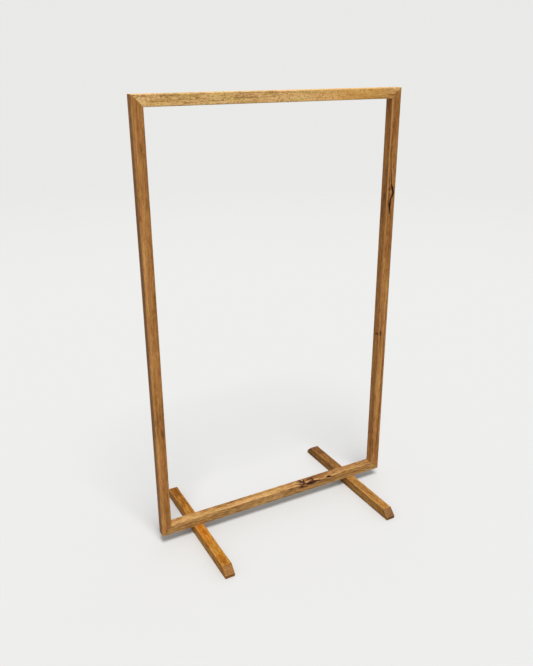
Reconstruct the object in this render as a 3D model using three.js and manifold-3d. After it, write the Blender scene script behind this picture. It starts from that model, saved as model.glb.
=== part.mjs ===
// A free-standing display frame in square-section hardwood.
// Four mitred members make an upright rectangle, which stands on two cross feet.
// Each mitre is held by a pair of hidden dowels, and each foot by a pair of screws from below.
// Units are millimetres. +Z is up, +X is to the right and -Y is the front.
// The origin is on the ground, in the middle of the object's width and of the feet's length.
import * as THREE from "three";
import { mergeVertices } from "three/addons/utils/BufferGeometryUtils.js";
import Module from "manifold-3d";

// The upright frame.
const FRAME_WIDTH = 1010; // over the outsides of the stiles
const FRAME_HEIGHT = 1600; // from the underside of the bottom rail to the top of the top rail
const FRAME_SETBACK = 4; // from the middle of the feet's length back to the middle of the frame
const MEMBER_WIDTH = 38; // of a stile or rail, seen from the front
const MEMBER_DEPTH = 38; // of a stile or rail, front to back
const MEMBER_EASING = 2.5; // radius on the long edges of the stiles and rails
const GLUE_LINE = 0.2; // between the two faces of a mitre

// The cross feet.
const FOOT_LENGTH = 600; // front to back
const FOOT_WIDTH = 38;
const FOOT_HEIGHT = 38;
const FOOT_EASING = 1.5; // radius on the long edges of a foot
const FOOT_INSET = 150; // from the outside of a stile to the middle of the foot's width
const FOOT_CHAMFER_RUN = 27; // length that each sloped end takes from the foot's top
const FOOT_NOSE_HEIGHT = 12; // upright part left under each sloped end
const RIGHT_FOOT_TURN = 1.15; // degrees that the right foot lies out of square

// The dowels in the mitres.
const DOWEL_RADIUS = 4;
const DOWEL_LENGTH = 40;
const DOWEL_CHAMFER = 1;
const DOWEL_SPACING = 18; // between the two dowels of a mitre, front to back
const DOWEL_FROM_INNER_CORNER = 16; // along the mitre, to the dowels' middle
const DOWEL_CLEARANCE = 0.15; // round a dowel in its hole
const DOWEL_END_CLEARANCE = 0.8; // room for glue past each end of a dowel

// The screws that hold the feet.
const SCREW_LENGTH = 50;
const SCREW_RADIUS = 2.5;
const SCREW_HEAD_RADIUS = 5;
const SCREW_HEAD_HEIGHT = 2.8;
const SCREW_POINT_LENGTH = 7;
const SCREW_ALONG_FOOT = 9; // from the middle of the crossing to a screw, along the foot
const SCREW_ACROSS_FOOT = 8; // the same, across the foot
const SCREW_CLEARANCE = 0.2; // round a screw in its holes
const RECESS_SPAN = 5; // across the arms of the cross recess in a screw's head
const RECESS_WIDTH = 1.2;
const RECESS_DEPTH = 1.8;
const COUNTERBORE_RADIUS = 6.5;
const COUNTERBORE_DEPTH = 12;

// How finely the round shapes are divided, and how far cutters run past the faces they cut.
const EASING_STEPS = 2;
const ROUND_STEPS = 24;
const OVERRUN = 5;
const MERGE_TOLERANCE = 1e-4;

const RIGHT_ANGLE = Math.PI / 2;

const wasm = await Module();
wasm.setup();

// A closed geometry as a solid that can be cut.
function solidFrom(geometry) {
  const bare = geometry.index ? geometry.toNonIndexed() : geometry.clone();
  bare.deleteAttribute("normal");
  bare.deleteAttribute("uv");
  const merged = mergeVertices(bare, MERGE_TOLERANCE);
  return new wasm.Manifold(
    new wasm.Mesh({
      numProp: 3,
      vertProperties: merged.getAttribute("position").array,
      triVerts: new Uint32Array(merged.index.array),
    }),
  );
}

// A cut solid as a geometry with flat faces.
function geometryFrom(solid) {
  const { vertProperties, triVerts } = solid.getMesh();
  const shared = new THREE.BufferGeometry();
  shared.setAttribute("position", new THREE.BufferAttribute(vertProperties, 3));
  shared.setIndex(new THREE.BufferAttribute(triVerts, 1));
  const flat = shared.toNonIndexed();
  flat.computeVertexNormals();
  return flat;
}

// The section of a bar: height along the shape's x from 0, depth centred on its y, round corners.
function easedSection(height, depth, radius) {
  const half = depth / 2;
  const section = new THREE.Shape();
  section.moveTo(radius, -half);
  section.absarc(height - radius, radius - half, radius, -RIGHT_ANGLE, 0);
  section.absarc(height - radius, half - radius, radius, 0, RIGHT_ANGLE);
  section.absarc(radius, half - radius, radius, RIGHT_ANGLE, 2 * RIGHT_ANGLE);
  section.absarc(radius, radius - half, radius, 2 * RIGHT_ANGLE, 3 * RIGHT_ANGLE);
  return section;
}

// A bar along X, centred on it, whose top is at z = 0 and whose long edges are eased.
function easedBar(length, height, depth, radius) {
  const bar = new THREE.ExtrudeGeometry(easedSection(height, depth, radius), {
    depth: length,
    bevelEnabled: false,
    curveSegments: EASING_STEPS,
  });
  bar.rotateY(RIGHT_ANGLE);
  bar.translate(-length / 2, 0, 0);
  return bar;
}

// A prism through the bar's depth, from the bar's outline in the plane of X and Z.
function outlinePrism(points, depth) {
  const outline = new THREE.Shape(points.map(([x, z]) => new THREE.Vector2(x, z)));
  const reach = depth + 2 * OVERRUN;
  const prism = new THREE.ExtrudeGeometry(outline, { depth: reach, bevelEnabled: false });
  prism.rotateX(RIGHT_ANGLE);
  prism.translate(0, reach / 2, 0);
  return prism;
}

// A round piece or cutter about Z, from [radius, z] points that start and end on the axis.
function turned(profile) {
  const points = profile.map(([radius, z]) => new THREE.Vector2(radius, z));
  const lathe = new THREE.LatheGeometry(points, ROUND_STEPS);
  lathe.rotateX(RIGHT_ANGLE);
  return lathe;
}

// A stile or rail along X, its outside edge at z = 0 and both ends mitred towards the inside.
function mitredMember(length) {
  const setback = (GLUE_LINE / 2) * Math.SQRT2;
  const outside = length / 2 - setback + OVERRUN;
  const inside = length / 2 - setback - MEMBER_WIDTH - OVERRUN;
  const outline = [
    [-inside, -MEMBER_WIDTH - OVERRUN],
    [inside, -MEMBER_WIDTH - OVERRUN],
    [outside, OVERRUN],
    [-outside, OVERRUN],
  ];
  const blank = easedBar(length, MEMBER_WIDTH, MEMBER_DEPTH, MEMBER_EASING);
  const ends = outlinePrism(outline, MEMBER_DEPTH);
  return geometryFrom(solidFrom(blank).intersect(solidFrom(ends)));
}

// A foot along X, its top at z = 0, with a sloped top and a short upright nose at each end.
function foot() {
  const half = FOOT_LENGTH / 2;
  const nose = FOOT_NOSE_HEIGHT - FOOT_HEIGHT;
  const slope = -nose / FOOT_CHAMFER_RUN;
  const peak = half - FOOT_CHAMFER_RUN - OVERRUN / slope;
  const outline = [
    [-half, -FOOT_HEIGHT - OVERRUN],
    [half, -FOOT_HEIGHT - OVERRUN],
    [half, nose],
    [peak, OVERRUN],
    [-peak, OVERRUN],
    [-half, nose],
  ];
  const blank = easedBar(FOOT_LENGTH, FOOT_HEIGHT, FOOT_WIDTH, FOOT_EASING);
  const ends = outlinePrism(outline, FOOT_WIDTH);
  return geometryFrom(solidFrom(blank).intersect(solidFrom(ends)));
}

// A dowel about Z, centred on its middle, with chamfered ends.
function dowel() {
  const end = DOWEL_LENGTH / 2;
  return turned([
    [0, -end],
    [DOWEL_RADIUS - DOWEL_CHAMFER, -end],
    [DOWEL_RADIUS, -end + DOWEL_CHAMFER],
    [DOWEL_RADIUS, end - DOWEL_CHAMFER],
    [DOWEL_RADIUS - DOWEL_CHAMFER, end],
    [0, end],
  ]);
}

// The hole that a dowel fills in the two members of a mitre.
function dowelHole() {
  const radius = DOWEL_RADIUS + DOWEL_CLEARANCE;
  const end = DOWEL_LENGTH / 2 + DOWEL_END_CLEARANCE;
  return turned([
    [0, -end],
    [radius, -end],
    [radius, end],
    [0, end],
  ]);
}

// A countersunk wood screw about Z: the face of its head at z = 0, its point upwards.
function screw() {
  const body = turned([
    [0, 0],
    [SCREW_HEAD_RADIUS, 0],
    [SCREW_RADIUS, SCREW_HEAD_HEIGHT],
    [SCREW_RADIUS, SCREW_LENGTH - SCREW_POINT_LENGTH],
    [0, SCREW_LENGTH],
  ]);
  let solid = solidFrom(body);
  for (const [x, y] of [
    [RECESS_SPAN, RECESS_WIDTH],
    [RECESS_WIDTH, RECESS_SPAN],
  ]) {
    solid = solid.subtract(solidFrom(new THREE.BoxGeometry(x, y, 2 * RECESS_DEPTH)));
  }
  return geometryFrom(solid);
}

// The hole for a screw, about the same axis: counterbore, countersink, clearance and point.
function screwHole() {
  const head = SCREW_HEAD_RADIUS + SCREW_CLEARANCE;
  const shank = SCREW_RADIUS + SCREW_CLEARANCE;
  return turned([
    [0, -COUNTERBORE_DEPTH - OVERRUN],
    [COUNTERBORE_RADIUS, -COUNTERBORE_DEPTH - OVERRUN],
    [COUNTERBORE_RADIUS, 0],
    [head, 0],
    [shank, SCREW_HEAD_HEIGHT + SCREW_CLEARANCE],
    [shank, SCREW_LENGTH - SCREW_POINT_LENGTH + SCREW_CLEARANCE],
    [0, SCREW_LENGTH + SCREW_CLEARANCE],
  ]);
}

function piece(name, geometry, material) {
  const mesh = new THREE.Mesh(geometry, material);
  mesh.name = name;
  return mesh;
}

// Cuts the hole of each fastener out of a mesh, wherever both stand in the object.
function drill(mesh, hole, fasteners) {
  let solid = solidFrom(mesh.geometry);
  const toMesh = mesh.matrixWorld.clone().invert();
  for (const fastener of fasteners) {
    const place = toMesh.clone().multiply(fastener.matrixWorld);
    solid = solid.subtract(solidFrom(hole.clone().applyMatrix4(place)));
  }
  mesh.geometry = geometryFrom(solid);
}

const hardwood = (color) => new THREE.MeshStandardMaterial({ color, roughness: 0.5, metalness: 0 });
const BEECH = new THREE.MeshStandardMaterial({ color: 0xc9a878, roughness: 0.7, metalness: 0 });
const ZINC = new THREE.MeshStandardMaterial({ color: 0xb9b6a4, roughness: 0.35, metalness: 1 });

// The members, with the turn about Y that brings each one's outside edge to its side of the frame.
const MEMBERS = {
  top_rail: { length: FRAME_WIDTH, x: 0, z: FRAME_HEIGHT, turn: 0, color: 0xbe945d },
  right_stile: {
    length: FRAME_HEIGHT,
    x: FRAME_WIDTH / 2,
    z: FRAME_HEIGHT / 2,
    turn: RIGHT_ANGLE,
    color: 0x8f6539,
  },
  bottom_rail: { length: FRAME_WIDTH, x: 0, z: 0, turn: 2 * RIGHT_ANGLE, color: 0xa87c4c },
  left_stile: {
    length: FRAME_HEIGHT,
    x: -FRAME_WIDTH / 2,
    z: FRAME_HEIGHT / 2,
    turn: -RIGHT_ANGLE,
    color: 0xa1713f,
  },
};

// The corners, each with the two members that meet there and the side of the frame that it is on.
const CORNERS = {
  top_left: { members: ["top_rail", "left_stile"], x: -1, z: 1 },
  top_right: { members: ["top_rail", "right_stile"], x: 1, z: 1 },
  bottom_left: { members: ["bottom_rail", "left_stile"], x: -1, z: -1 },
  bottom_right: { members: ["bottom_rail", "right_stile"], x: 1, z: -1 },
};

const FEET = {
  left_foot: { x: FOOT_INSET - FRAME_WIDTH / 2, turn: 0, color: 0xc08434 },
  right_foot: {
    x: FRAME_WIDTH / 2 - FOOT_INSET,
    turn: THREE.MathUtils.degToRad(RIGHT_FOOT_TURN),
    color: 0xbb7f38,
  },
};

const displayFrame = new THREE.Group();

// The upright frame stands on the feet, its own origin in the middle of its underside.
const upright = new THREE.Group();
upright.position.set(0, FRAME_SETBACK, FOOT_HEIGHT);
displayFrame.add(upright);

const members = {};
for (const [name, { length, x, z, turn, color }] of Object.entries(MEMBERS)) {
  const member = piece(name, mitredMember(length), hardwood(color));
  member.position.set(x, 0, z);
  member.rotation.y = turn;
  members[name] = member;
  upright.add(member);
}

// Each pair of dowels crosses its mitre square, a set way from the inner corner.
const dowelPairs = {};
for (const [corner, { x, z }] of Object.entries(CORNERS)) {
  const fromOutside = MEMBER_WIDTH - DOWEL_FROM_INNER_CORNER / Math.SQRT2;
  const pair = new THREE.Group();
  pair.position.set(
    x * (FRAME_WIDTH / 2 - fromOutside),
    0,
    FRAME_HEIGHT / 2 + z * (FRAME_HEIGHT / 2 - fromOutside),
  );
  pair.rotation.y = (-x * z * RIGHT_ANGLE) / 2;
  dowelPairs[corner] = ["front", "back"].map((side, i) => {
    const pin = piece(`${corner}_${side}_dowel`, dowel(), BEECH);
    pin.position.y = (i - 0.5) * DOWEL_SPACING;
    pair.add(pin);
    return pin;
  });
  upright.add(pair);
}

// Each foot runs under the bottom rail, where two screws come up through it.
const feet = {};
const screwPairs = {};
for (const [name, { x, turn, color }] of Object.entries(FEET)) {
  const base = new THREE.Group();
  base.position.x = x;
  base.rotation.z = turn;
  const bar = piece(name, foot(), hardwood(color));
  bar.position.z = FOOT_HEIGHT;
  bar.rotation.z = RIGHT_ANGLE;
  base.add(bar);
  feet[name] = bar;
  screwPairs[name] = ["front", "back"].map((side, i) => {
    const fixing = piece(`${name}_${side}_screw`, screw(), ZINC);
    const way = 2 * i - 1;
    fixing.position.set(
      -way * SCREW_ACROSS_FOOT,
      FRAME_SETBACK + way * SCREW_ALONG_FOOT,
      COUNTERBORE_DEPTH,
    );
    base.add(fixing);
    return fixing;
  });
  displayFrame.add(base);
}

displayFrame.updateMatrixWorld(true);
for (const [corner, pins] of Object.entries(dowelPairs)) {
  for (const name of CORNERS[corner].members) drill(members[name], dowelHole(), pins);
}
for (const [name, fixings] of Object.entries(screwPairs)) {
  drill(feet[name], screwHole(), fixings);
  drill(members.bottom_rail, screwHole(), fixings);
}

export default displayFrame;
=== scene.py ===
import logging
import math
import random
from collections.abc import Iterable, Sequence
from dataclasses import dataclass, field
from enum import Enum
from functools import cached_property

import bmesh
import bpy
from bmesh.types import BMEdge, BMesh, BMVert
from bpy.types import Material, Node, NodeOutputs, NodeSocket, NodeTree, Object
from mathutils import Matrix, Vector, noise


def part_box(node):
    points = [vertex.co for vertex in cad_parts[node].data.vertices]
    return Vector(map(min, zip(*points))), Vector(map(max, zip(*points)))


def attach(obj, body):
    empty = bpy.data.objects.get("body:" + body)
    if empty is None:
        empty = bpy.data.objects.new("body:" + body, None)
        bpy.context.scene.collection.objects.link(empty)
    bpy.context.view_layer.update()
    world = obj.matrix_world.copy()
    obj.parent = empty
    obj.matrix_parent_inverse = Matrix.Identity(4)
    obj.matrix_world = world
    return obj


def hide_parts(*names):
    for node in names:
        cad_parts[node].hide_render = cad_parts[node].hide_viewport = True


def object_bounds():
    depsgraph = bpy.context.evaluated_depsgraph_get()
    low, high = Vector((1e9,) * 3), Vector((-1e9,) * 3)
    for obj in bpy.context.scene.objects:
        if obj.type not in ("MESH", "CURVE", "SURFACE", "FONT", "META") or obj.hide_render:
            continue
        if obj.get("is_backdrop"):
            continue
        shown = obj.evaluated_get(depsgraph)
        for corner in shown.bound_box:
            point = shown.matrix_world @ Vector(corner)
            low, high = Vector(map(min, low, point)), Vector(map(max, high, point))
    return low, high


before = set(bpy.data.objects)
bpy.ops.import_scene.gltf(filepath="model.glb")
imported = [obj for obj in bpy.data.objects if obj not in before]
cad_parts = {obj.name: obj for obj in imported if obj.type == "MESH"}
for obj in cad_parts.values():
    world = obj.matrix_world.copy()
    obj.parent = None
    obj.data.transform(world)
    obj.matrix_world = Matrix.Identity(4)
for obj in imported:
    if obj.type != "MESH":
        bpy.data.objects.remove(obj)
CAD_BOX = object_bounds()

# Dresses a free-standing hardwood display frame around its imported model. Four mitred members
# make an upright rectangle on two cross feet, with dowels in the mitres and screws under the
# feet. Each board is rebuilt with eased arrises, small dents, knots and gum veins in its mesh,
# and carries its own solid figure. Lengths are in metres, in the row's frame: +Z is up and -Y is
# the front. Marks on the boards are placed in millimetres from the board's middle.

log = logging.getLogger("display_frame")

BODY = "root"
MM = 0.001
RIGHT_ANGLE = math.pi / 2

# How near to a cutting plane a point lies on it, and how near two points are one.
ON_PLANE = 1e-7
SAME_POINT = 1e-6

Colour = tuple[float, float, float]
Place = tuple[float, float, float]
Rise = tuple[float, float]
Value = float | Sequence[float] | NodeSocket


def mm(*lengths: float) -> tuple[float, ...]:
    """Turn millimetres into metres."""
    return tuple(length * MM for length in lengths)


def srgb(*channels: int) -> Colour:
    """Turn a display colour, each channel from 0 to 255, into the linear one of a shader."""
    shares = [channel / 255 for channel in channels]
    return tuple(s / 12.92 if s <= 0.04045 else ((s + 0.055) / 1.055) ** 2.4 for s in shares)


def smoothstep(low: float, high: float, value: float) -> float:
    """Rise smoothly from 0 at the low value to 1 at the high one, and read it at a value."""
    share = min(max((value - low) / (high - low), 0.0), 1.0)
    return share * share * (3 - 2 * share)


# --------------------------------------------------------------------------- shader graphs


class Graph:
    """Adds the nodes of one node tree and joins them."""

    LAYER_STRENGTH = 0.6

    def __init__(self, tree: NodeTree) -> None:
        """Take the node tree to build in."""
        self.tree = tree

    def node(self, kind: str, **settings: object) -> Node:
        """Add a node and set its plain properties.

        Args:
            kind: The node's type name.
            **settings: Properties to set on the node.

        Returns:
            The new node.
        """
        made = self.tree.nodes.new(kind)
        for name, value in settings.items():
            setattr(made, name, value)
        return made

    def put(self, socket: NodeSocket, value: Value) -> None:
        """Link an input to another node's output, or set its value.

        Args:
            socket: The input.
            value: An output to link, or a number, a colour or a vector.
        """
        if isinstance(value, NodeSocket):
            self.tree.links.new(value, socket)
        elif socket.type == "RGBA":
            socket.default_value = (*value, 1.0)
        else:
            socket.default_value = value

    def fill(self, node: Node, inputs: dict[str, Value]) -> NodeOutputs:
        """Fill a node's named inputs.

        Args:
            node: The node.
            inputs: What each input gets, by its name.

        Returns:
            The node's outputs.
        """
        for name, value in inputs.items():
            self.put(node.inputs[name], value)
        return node.outputs

    def fed(self, kind: str, *inputs: Value, **settings: object) -> NodeSocket:
        """Add a node, fill its inputs in order and return its first live output.

        Args:
            kind: The node's type name.
            *inputs: Values or outputs for its inputs.
            **settings: Properties to set on the node.

        Returns:
            The output.
        """
        made = self.node(kind, **settings)
        for socket, value in zip((s for s in made.inputs if s.enabled), inputs):
            self.put(socket, value)
        return next(socket for socket in made.outputs if socket.enabled)

    def math(self, operation: str, *inputs: Value, clamp: bool = False) -> NodeSocket:
        """Work out one sum on numbers."""
        return self.fed("ShaderNodeMath", *inputs, operation=operation, use_clamp=clamp)

    def times(self, first: Value, second: Value) -> NodeSocket:
        """Multiply two numbers."""
        return self.math("MULTIPLY", first, second)

    def scaled(self, value: Value, factor: Value, offset: Value) -> NodeSocket:
        """Multiply a number by a factor and add an offset."""
        return self.math("MULTIPLY_ADD", value, factor, offset)

    def sum(self, *terms: tuple[Value, Value]) -> NodeSocket:
        """Add up several products of two values.

        Args:
            *terms: The pairs to multiply.

        Returns:
            Their sum.
        """
        total: Value = 0.0
        for first, second in terms:
            total = self.scaled(first, second, total)
        return total

    def vector(self, operation: str, *inputs: Value) -> NodeSocket:
        """Work out one sum on vectors."""
        return self.fed("ShaderNodeVectorMath", *inputs, operation=operation)

    def length(self, vector: Value) -> NodeSocket:
        """Measure a vector."""
        made = self.node("ShaderNodeVectorMath", operation="LENGTH")
        return self.fill(made, {"Vector": vector})["Value"]

    def noise(self, place: Value, waves: Place, layers: float = 2.0) -> NodeSocket:
        """Add a noise about 0.

        Args:
            place: Where it is read.
            waves: Its waves in a metre along each axis.
            layers: How many finer layers it has.

        Returns:
            The noise.
        """
        stretched = self.vector("MULTIPLY", place, waves)
        shape = {"Scale": 1.0, "Detail": layers, "Roughness": self.LAYER_STRENGTH}
        made = self.fill(self.node("ShaderNodeTexNoise"), {"Vector": stretched, **shape})
        return self.math("SUBTRACT", made[0], 0.5)

    def ramp(self, value: Value, low: float, high: float) -> NodeSocket:
        """Turn a value into one that rises smoothly from 0 at low to 1 at high."""
        return self.fed("ShaderNodeMapRange", value, low, high, interpolation_type="SMOOTHSTEP")

    def mix(self, share: Value, first: Value, second: Value) -> NodeSocket:
        """Mix two colours by a share of the second."""
        return self.fed("ShaderNodeMix", share, first, second, data_type="RGBA")

    def tinted(self, share: Value, first: Value, second: Value) -> NodeSocket:
        """Multiply a colour by a share of another."""
        settings = {"data_type": "RGBA", "blend_type": "MULTIPLY"}
        return self.fed("ShaderNodeMix", share, first, second, **settings)

    def attribute(self, name: str, output: str = "Fac") -> NodeSocket:
        """Read one of the mesh's own attributes."""
        return self.node("ShaderNodeAttribute", attribute_name=name).outputs[output]

    def own_place(self) -> NodeSocket:
        """Read the place on the piece, in the piece's own axes."""
        return self.node("ShaderNodeTexCoord").outputs["Object"]

    def bump(self, height: Value, depth: float, strength: float = 1.0) -> NodeSocket:
        """Turn a height into a rough normal, by how deep a height of 1 is."""
        settings = {"Strength": strength, "Distance": depth, "Height": height}
        return self.fill(self.node("ShaderNodeBump"), settings)["Normal"]


class Surface(Graph):
    """The nodes of a new material, round its own Principled BSDF."""

    def __init__(self, name: str) -> None:
        """Make the material.

        Args:
            name: The material's name.
        """
        self.material = bpy.data.materials.new(name)
        self.material.use_nodes = True
        super().__init__(self.material.node_tree)

    def dress(self, inputs: dict[str, Value]) -> Material:
        """Fill the shader's named inputs and give the finished material."""
        self.fill(self.tree.nodes["Principled BSDF"], inputs)
        return self.material


class Kind(Enum):
    """What a socket carries, with the type that a group's own socket is made by."""

    RGBA = "NodeSocketColor"
    VECTOR = "NodeSocketVector"
    VALUE = "NodeSocketFloat"


class NodeGroup:
    """A shader node group with named inputs and outputs."""

    def __init__(self, name: str, **inputs: Sequence[str]) -> None:
        """Make the group and declare its inputs.

        Args:
            name: The group's name.
            **inputs: The names of the inputs of each kind.
        """
        self.tree = bpy.data.node_groups.new(name, "ShaderNodeTree")
        self.labels = [label for labels in inputs.values() for label in labels]
        for kind, labels in inputs.items():
            for label in labels:
                self.declare(label, "INPUT", kind)
        self.graph = Graph(self.tree)
        self.given = self.graph.node("NodeGroupInput").outputs

    def declare(self, label: str, way: str, kind: str) -> None:
        """Add one named socket to the group."""
        self.tree.interface.new_socket(label, in_out=way, socket_type=Kind[kind].value)

    def give(self, **outputs: NodeSocket) -> None:
        """Args:
            **outputs: What each output gives.
        """
        for label, source in outputs.items():
            self.declare(label, "OUTPUT", source.type)
        self.graph.fill(self.graph.node("NodeGroupOutput"), outputs)

    def laid_on(self, graph: Graph, pool: dict[str, Value]) -> dict[str, Value]:
        """Put the group into a material and feed its inputs by name.

        Args:
            graph: The material's nodes.
            pool: Values and outputs, by the names of the groups' inputs.

        Returns:
            The group's own outputs, by name.
        """
        made = graph.node("ShaderNodeGroup", node_tree=self.tree)
        outputs = graph.fill(made, {label: pool[label] for label in self.labels})
        return {output.name: output for output in outputs}


# --------------------------------------------------------------------------- wood in the shader


@dataclass(frozen=True)
class Grain:
    """A noise that is drawn out along the wood.

    Attributes:
        along: Its waves in a metre along the grain, or out from the pith for the rings.
        across: The same across the grain.
        layers: How many finer layers it has.
    """

    along: float
    across: float
    layers: float = 2.0

    def over(self, graph: Graph, place: Value) -> NodeSocket:
        """Spread the noise over a place."""
        return graph.noise(place, (self.along, self.across, self.across), self.layers)


class HardwoodFigure(NodeGroup):
    """The solid figure of hardwood, whose grain runs along X.

    Growth rings lie round a pith beside the board. Long streaks, hairlines, fibres, pores,
    clouds, mottling and short flecks lie along it, and its hue drifts from olive to rosy.
    """

    NOISES = {
        "streaks": Grain(3.4, 120.0, 5.0),
        "lines": Grain(4.0, 430.0, 3.0),
        "fibres": Grain(26.0, 1100.0, 3.0),
        "combing": Grain(40.0, 1200.0),
        "mottle": Grain(34.0, 260.0, 4.0),
        "clouds": Grain(5.0, 24.0, 3.0),
        "flecks": Grain(150.0, 310.0, 3.0),
        "pores": Grain(75.0, 900.0, 1.0),
        "hue": Grain(14.0, 75.0, 3.0),
    }
    RINGS = Grain(260.0, 1.0, 5.0)
    SEED_SHIFT = (7.3, 3.2, 5.7)
    ACROSS = (0.0, 1.0, 1.0)

    # The slow wander of the grain in Y and in Z, and how far it goes.
    WANDER = Grain(2.2, 14.0)
    WANDER_STARTS = (0.0, 9.0)
    WANDER_REACH = (0.0, 0.03, 0.03)

    # Where the masks made of noises start and end their rise.
    RISES: dict[str, Rise] = {
        "combing": (-0.14, 0.14),
        "flecks": (-0.02, 0.16),
        "pores": (0.13, 0.2),
        "hue": (-0.16, 0.16),
    }
    HAIRLINES: Rise = (0.1, 0.24)
    END_RINGS: Rise = (-0.45, 0.45)

    # What share of the mottle and the flecks the combing takes, and what is left without it.
    COMBED = {"mottle": (1.1, 0.45), "flecks": (0.9, 0.15)}

    # How strongly each part tells in the tone, the end grain's tone, the roughness and the height.
    TONE = {"lines": 0.7, "fibres": 0.5, "tint": 0.5, "tinted_streaks": 1.0}
    END_TONE = {"rings": 1.4, "lines": 1.0, "fibres": 0.9, "tint": 0.45}
    ROUGHNESS = {"sheen": 1.0, "fibres": 0.25, "pits": 0.2, "end_grain": 0.2}
    HEIGHT = {"fibres": 0.8, "lines": 0.6, "streaks": 0.4, "pits": -1.2}
    TONE_GAIN = 2.0

    OLIVE = (0.97, 1.0, 0.84)
    ROSY = (1.05, 0.97, 1.04)
    CLOSED_END = (0.58, 0.54, 0.5)
    OPEN_END = (1.42, 1.44, 1.46)
    HAIRLINE_DARKNESS = 0.45
    PORE_DARKNESS = 0.7
    END_COVER = 0.85
    LOST_AT_ENDS = 0.75

    def __init__(self) -> None:
        """Build the group."""
        traits = ("Rings", "Streaks", "Clouds", "Flecks", "Mottle", "Pores", "Hue", "Sheen")
        super().__init__(
            "hardwood_figure",
            VECTOR=("Place", "Pith"),
            RGBA=("Pale", "Middle", "Dark", "End"),
            VALUE=("Seed", *traits, "Tint", "End Grain"),
        )
        parts = self.spread()
        self.give(
            Color=self.colour(parts),
            Roughness=self.graph.sum(*self.weighed(parts, self.ROUGHNESS)),
            Height=self.graph.sum(*self.weighed(parts, self.HEIGHT)),
        )

    @staticmethod
    def weighed(parts: dict[str, Value], weights: dict[str, float]) -> list[tuple[Value, float]]:
        """Pair parts of the figure with their weights."""
        return [(parts[name], weight) for name, weight in weights.items()]

    def spread(self) -> dict[str, Value]:
        """Spread the noises over the wood.

        Returns:
            The noises, the masks made of them, and the inputs that they are weighed with.
        """
        g, given = self.graph, self.given
        seeds = g.fed("ShaderNodeCombineXYZ", *[given["Seed"]] * 3)
        moved = g.vector("ADD", given["Place"], g.vector("MULTIPLY", seeds, self.SEED_SHIFT))
        starts = [g.vector("ADD", moved, (start,) * 3) for start in self.WANDER_STARTS]
        wander = g.fed("ShaderNodeCombineXYZ", 0.0, *[self.WANDER.over(g, start) for start in starts])
        drift = g.vector("MULTIPLY", wander, self.WANDER_REACH)
        place = g.vector("ADD", given["Place"], drift)
        moved = g.vector("ADD", moved, drift)

        parts: dict[str, Value] = {name: grain.over(g, moved) for name, grain in self.NOISES.items()}
        for name, rise in self.RISES.items():
            parts[name] = g.ramp(parts[name], *rise)
        for name, combed in self.COMBED.items():
            parts[name] = g.times(parts[name], g.scaled(parts["combing"], *combed))
        from_pith = g.vector("MULTIPLY", g.vector("SUBTRACT", place, given["Pith"]), self.ACROSS)
        ring_place = g.fed("ShaderNodeCombineXYZ", g.length(from_pith), given["Seed"], 0.0)
        parts["rings"] = self.RINGS.over(g, ring_place)
        parts["pits"] = g.times(parts["pores"], given["Pores"])
        parts["tinted_streaks"] = g.times(given["Tint"], parts["streaks"])
        parts.update(tint=given["Tint"], sheen=given["Sheen"], end_grain=given["End Grain"])
        return parts

    def colour(self, parts: dict[str, Value]) -> NodeSocket:
        """Work out the wood's colour.

        Args:
            parts: The noises and masks.

        Returns:
            The colour.
        """
        g, given = self.graph, self.given
        along = g.scaled(parts["end_grain"], -self.LOST_AT_ENDS, 1.0)
        tone = g.sum(
            (parts["rings"], given["Rings"]),
            (g.times(parts["streaks"], along), given["Streaks"]),
            (g.times(parts["mottle"], along), given["Mottle"]),
            (parts["clouds"], given["Clouds"]),
            *self.weighed(parts, self.TONE),
        )
        low = g.math("MULTIPLY_ADD", tone, self.TONE_GAIN, 1.0, clamp=True)
        high = g.math("MULTIPLY", tone, self.TONE_GAIN, clamp=True)
        colour = g.mix(high, g.mix(low, given["Dark"], given["Middle"]), given["Pale"])
        colour = g.mix(g.times(parts["flecks"], given["Flecks"]), colour, given["Dark"])
        hairs = g.times(g.ramp(parts["lines"], *self.HAIRLINES), self.HAIRLINE_DARKNESS)
        colour = g.mix(hairs, colour, given["Dark"])
        colour = g.tinted(given["Hue"], colour, g.mix(parts["hue"], self.OLIVE, self.ROSY))

        end_tone = g.sum(*self.weighed(parts, self.END_TONE))
        shade = g.mix(g.ramp(end_tone, *self.END_RINGS), self.CLOSED_END, self.OPEN_END)
        ended = g.tinted(1.0, given["End"], shade)
        colour = g.mix(g.times(parts["end_grain"], self.END_COVER), colour, ended)
        return g.mix(g.times(parts["pits"], self.PORE_DARKNESS), colour, given["Dark"])


class ArrisWearAndHighlight(NodeGroup):
    """An arris worn paler and smoother in uneven stretches; the paler colour is partly a painted
    highlight.
    """

    WEAR_AND_HIGHLIGHT = Grain(13.0, 55.0, 3.0)
    STRETCHES: Rise = (-0.12, 0.12)
    SMOOTHER = 0.12

    def __init__(self) -> None:
        """Build the group."""
        super().__init__(
            "arris_wear_and_highlight",
            RGBA=("Color", "Pale"),
            VECTOR=("Place",),
            VALUE=("Roughness", "Arris", "Worn_And_Highlit"),
        )
        g, given = self.graph, self.given
        stretches = g.ramp(self.WEAR_AND_HIGHLIGHT.over(g, given["Place"]), *self.STRETCHES)
        # The arrises are painted paler: partly wear, partly a painted highlight.
        share = g.times(g.times(stretches, given["Arris"]), given["Worn_And_Highlit"])
        self.give(
            Color=g.mix(share, given["Color"], given["Pale"]),
            Roughness=g.scaled(share, -self.SMOOTHER, given["Roughness"]),
        )


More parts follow.
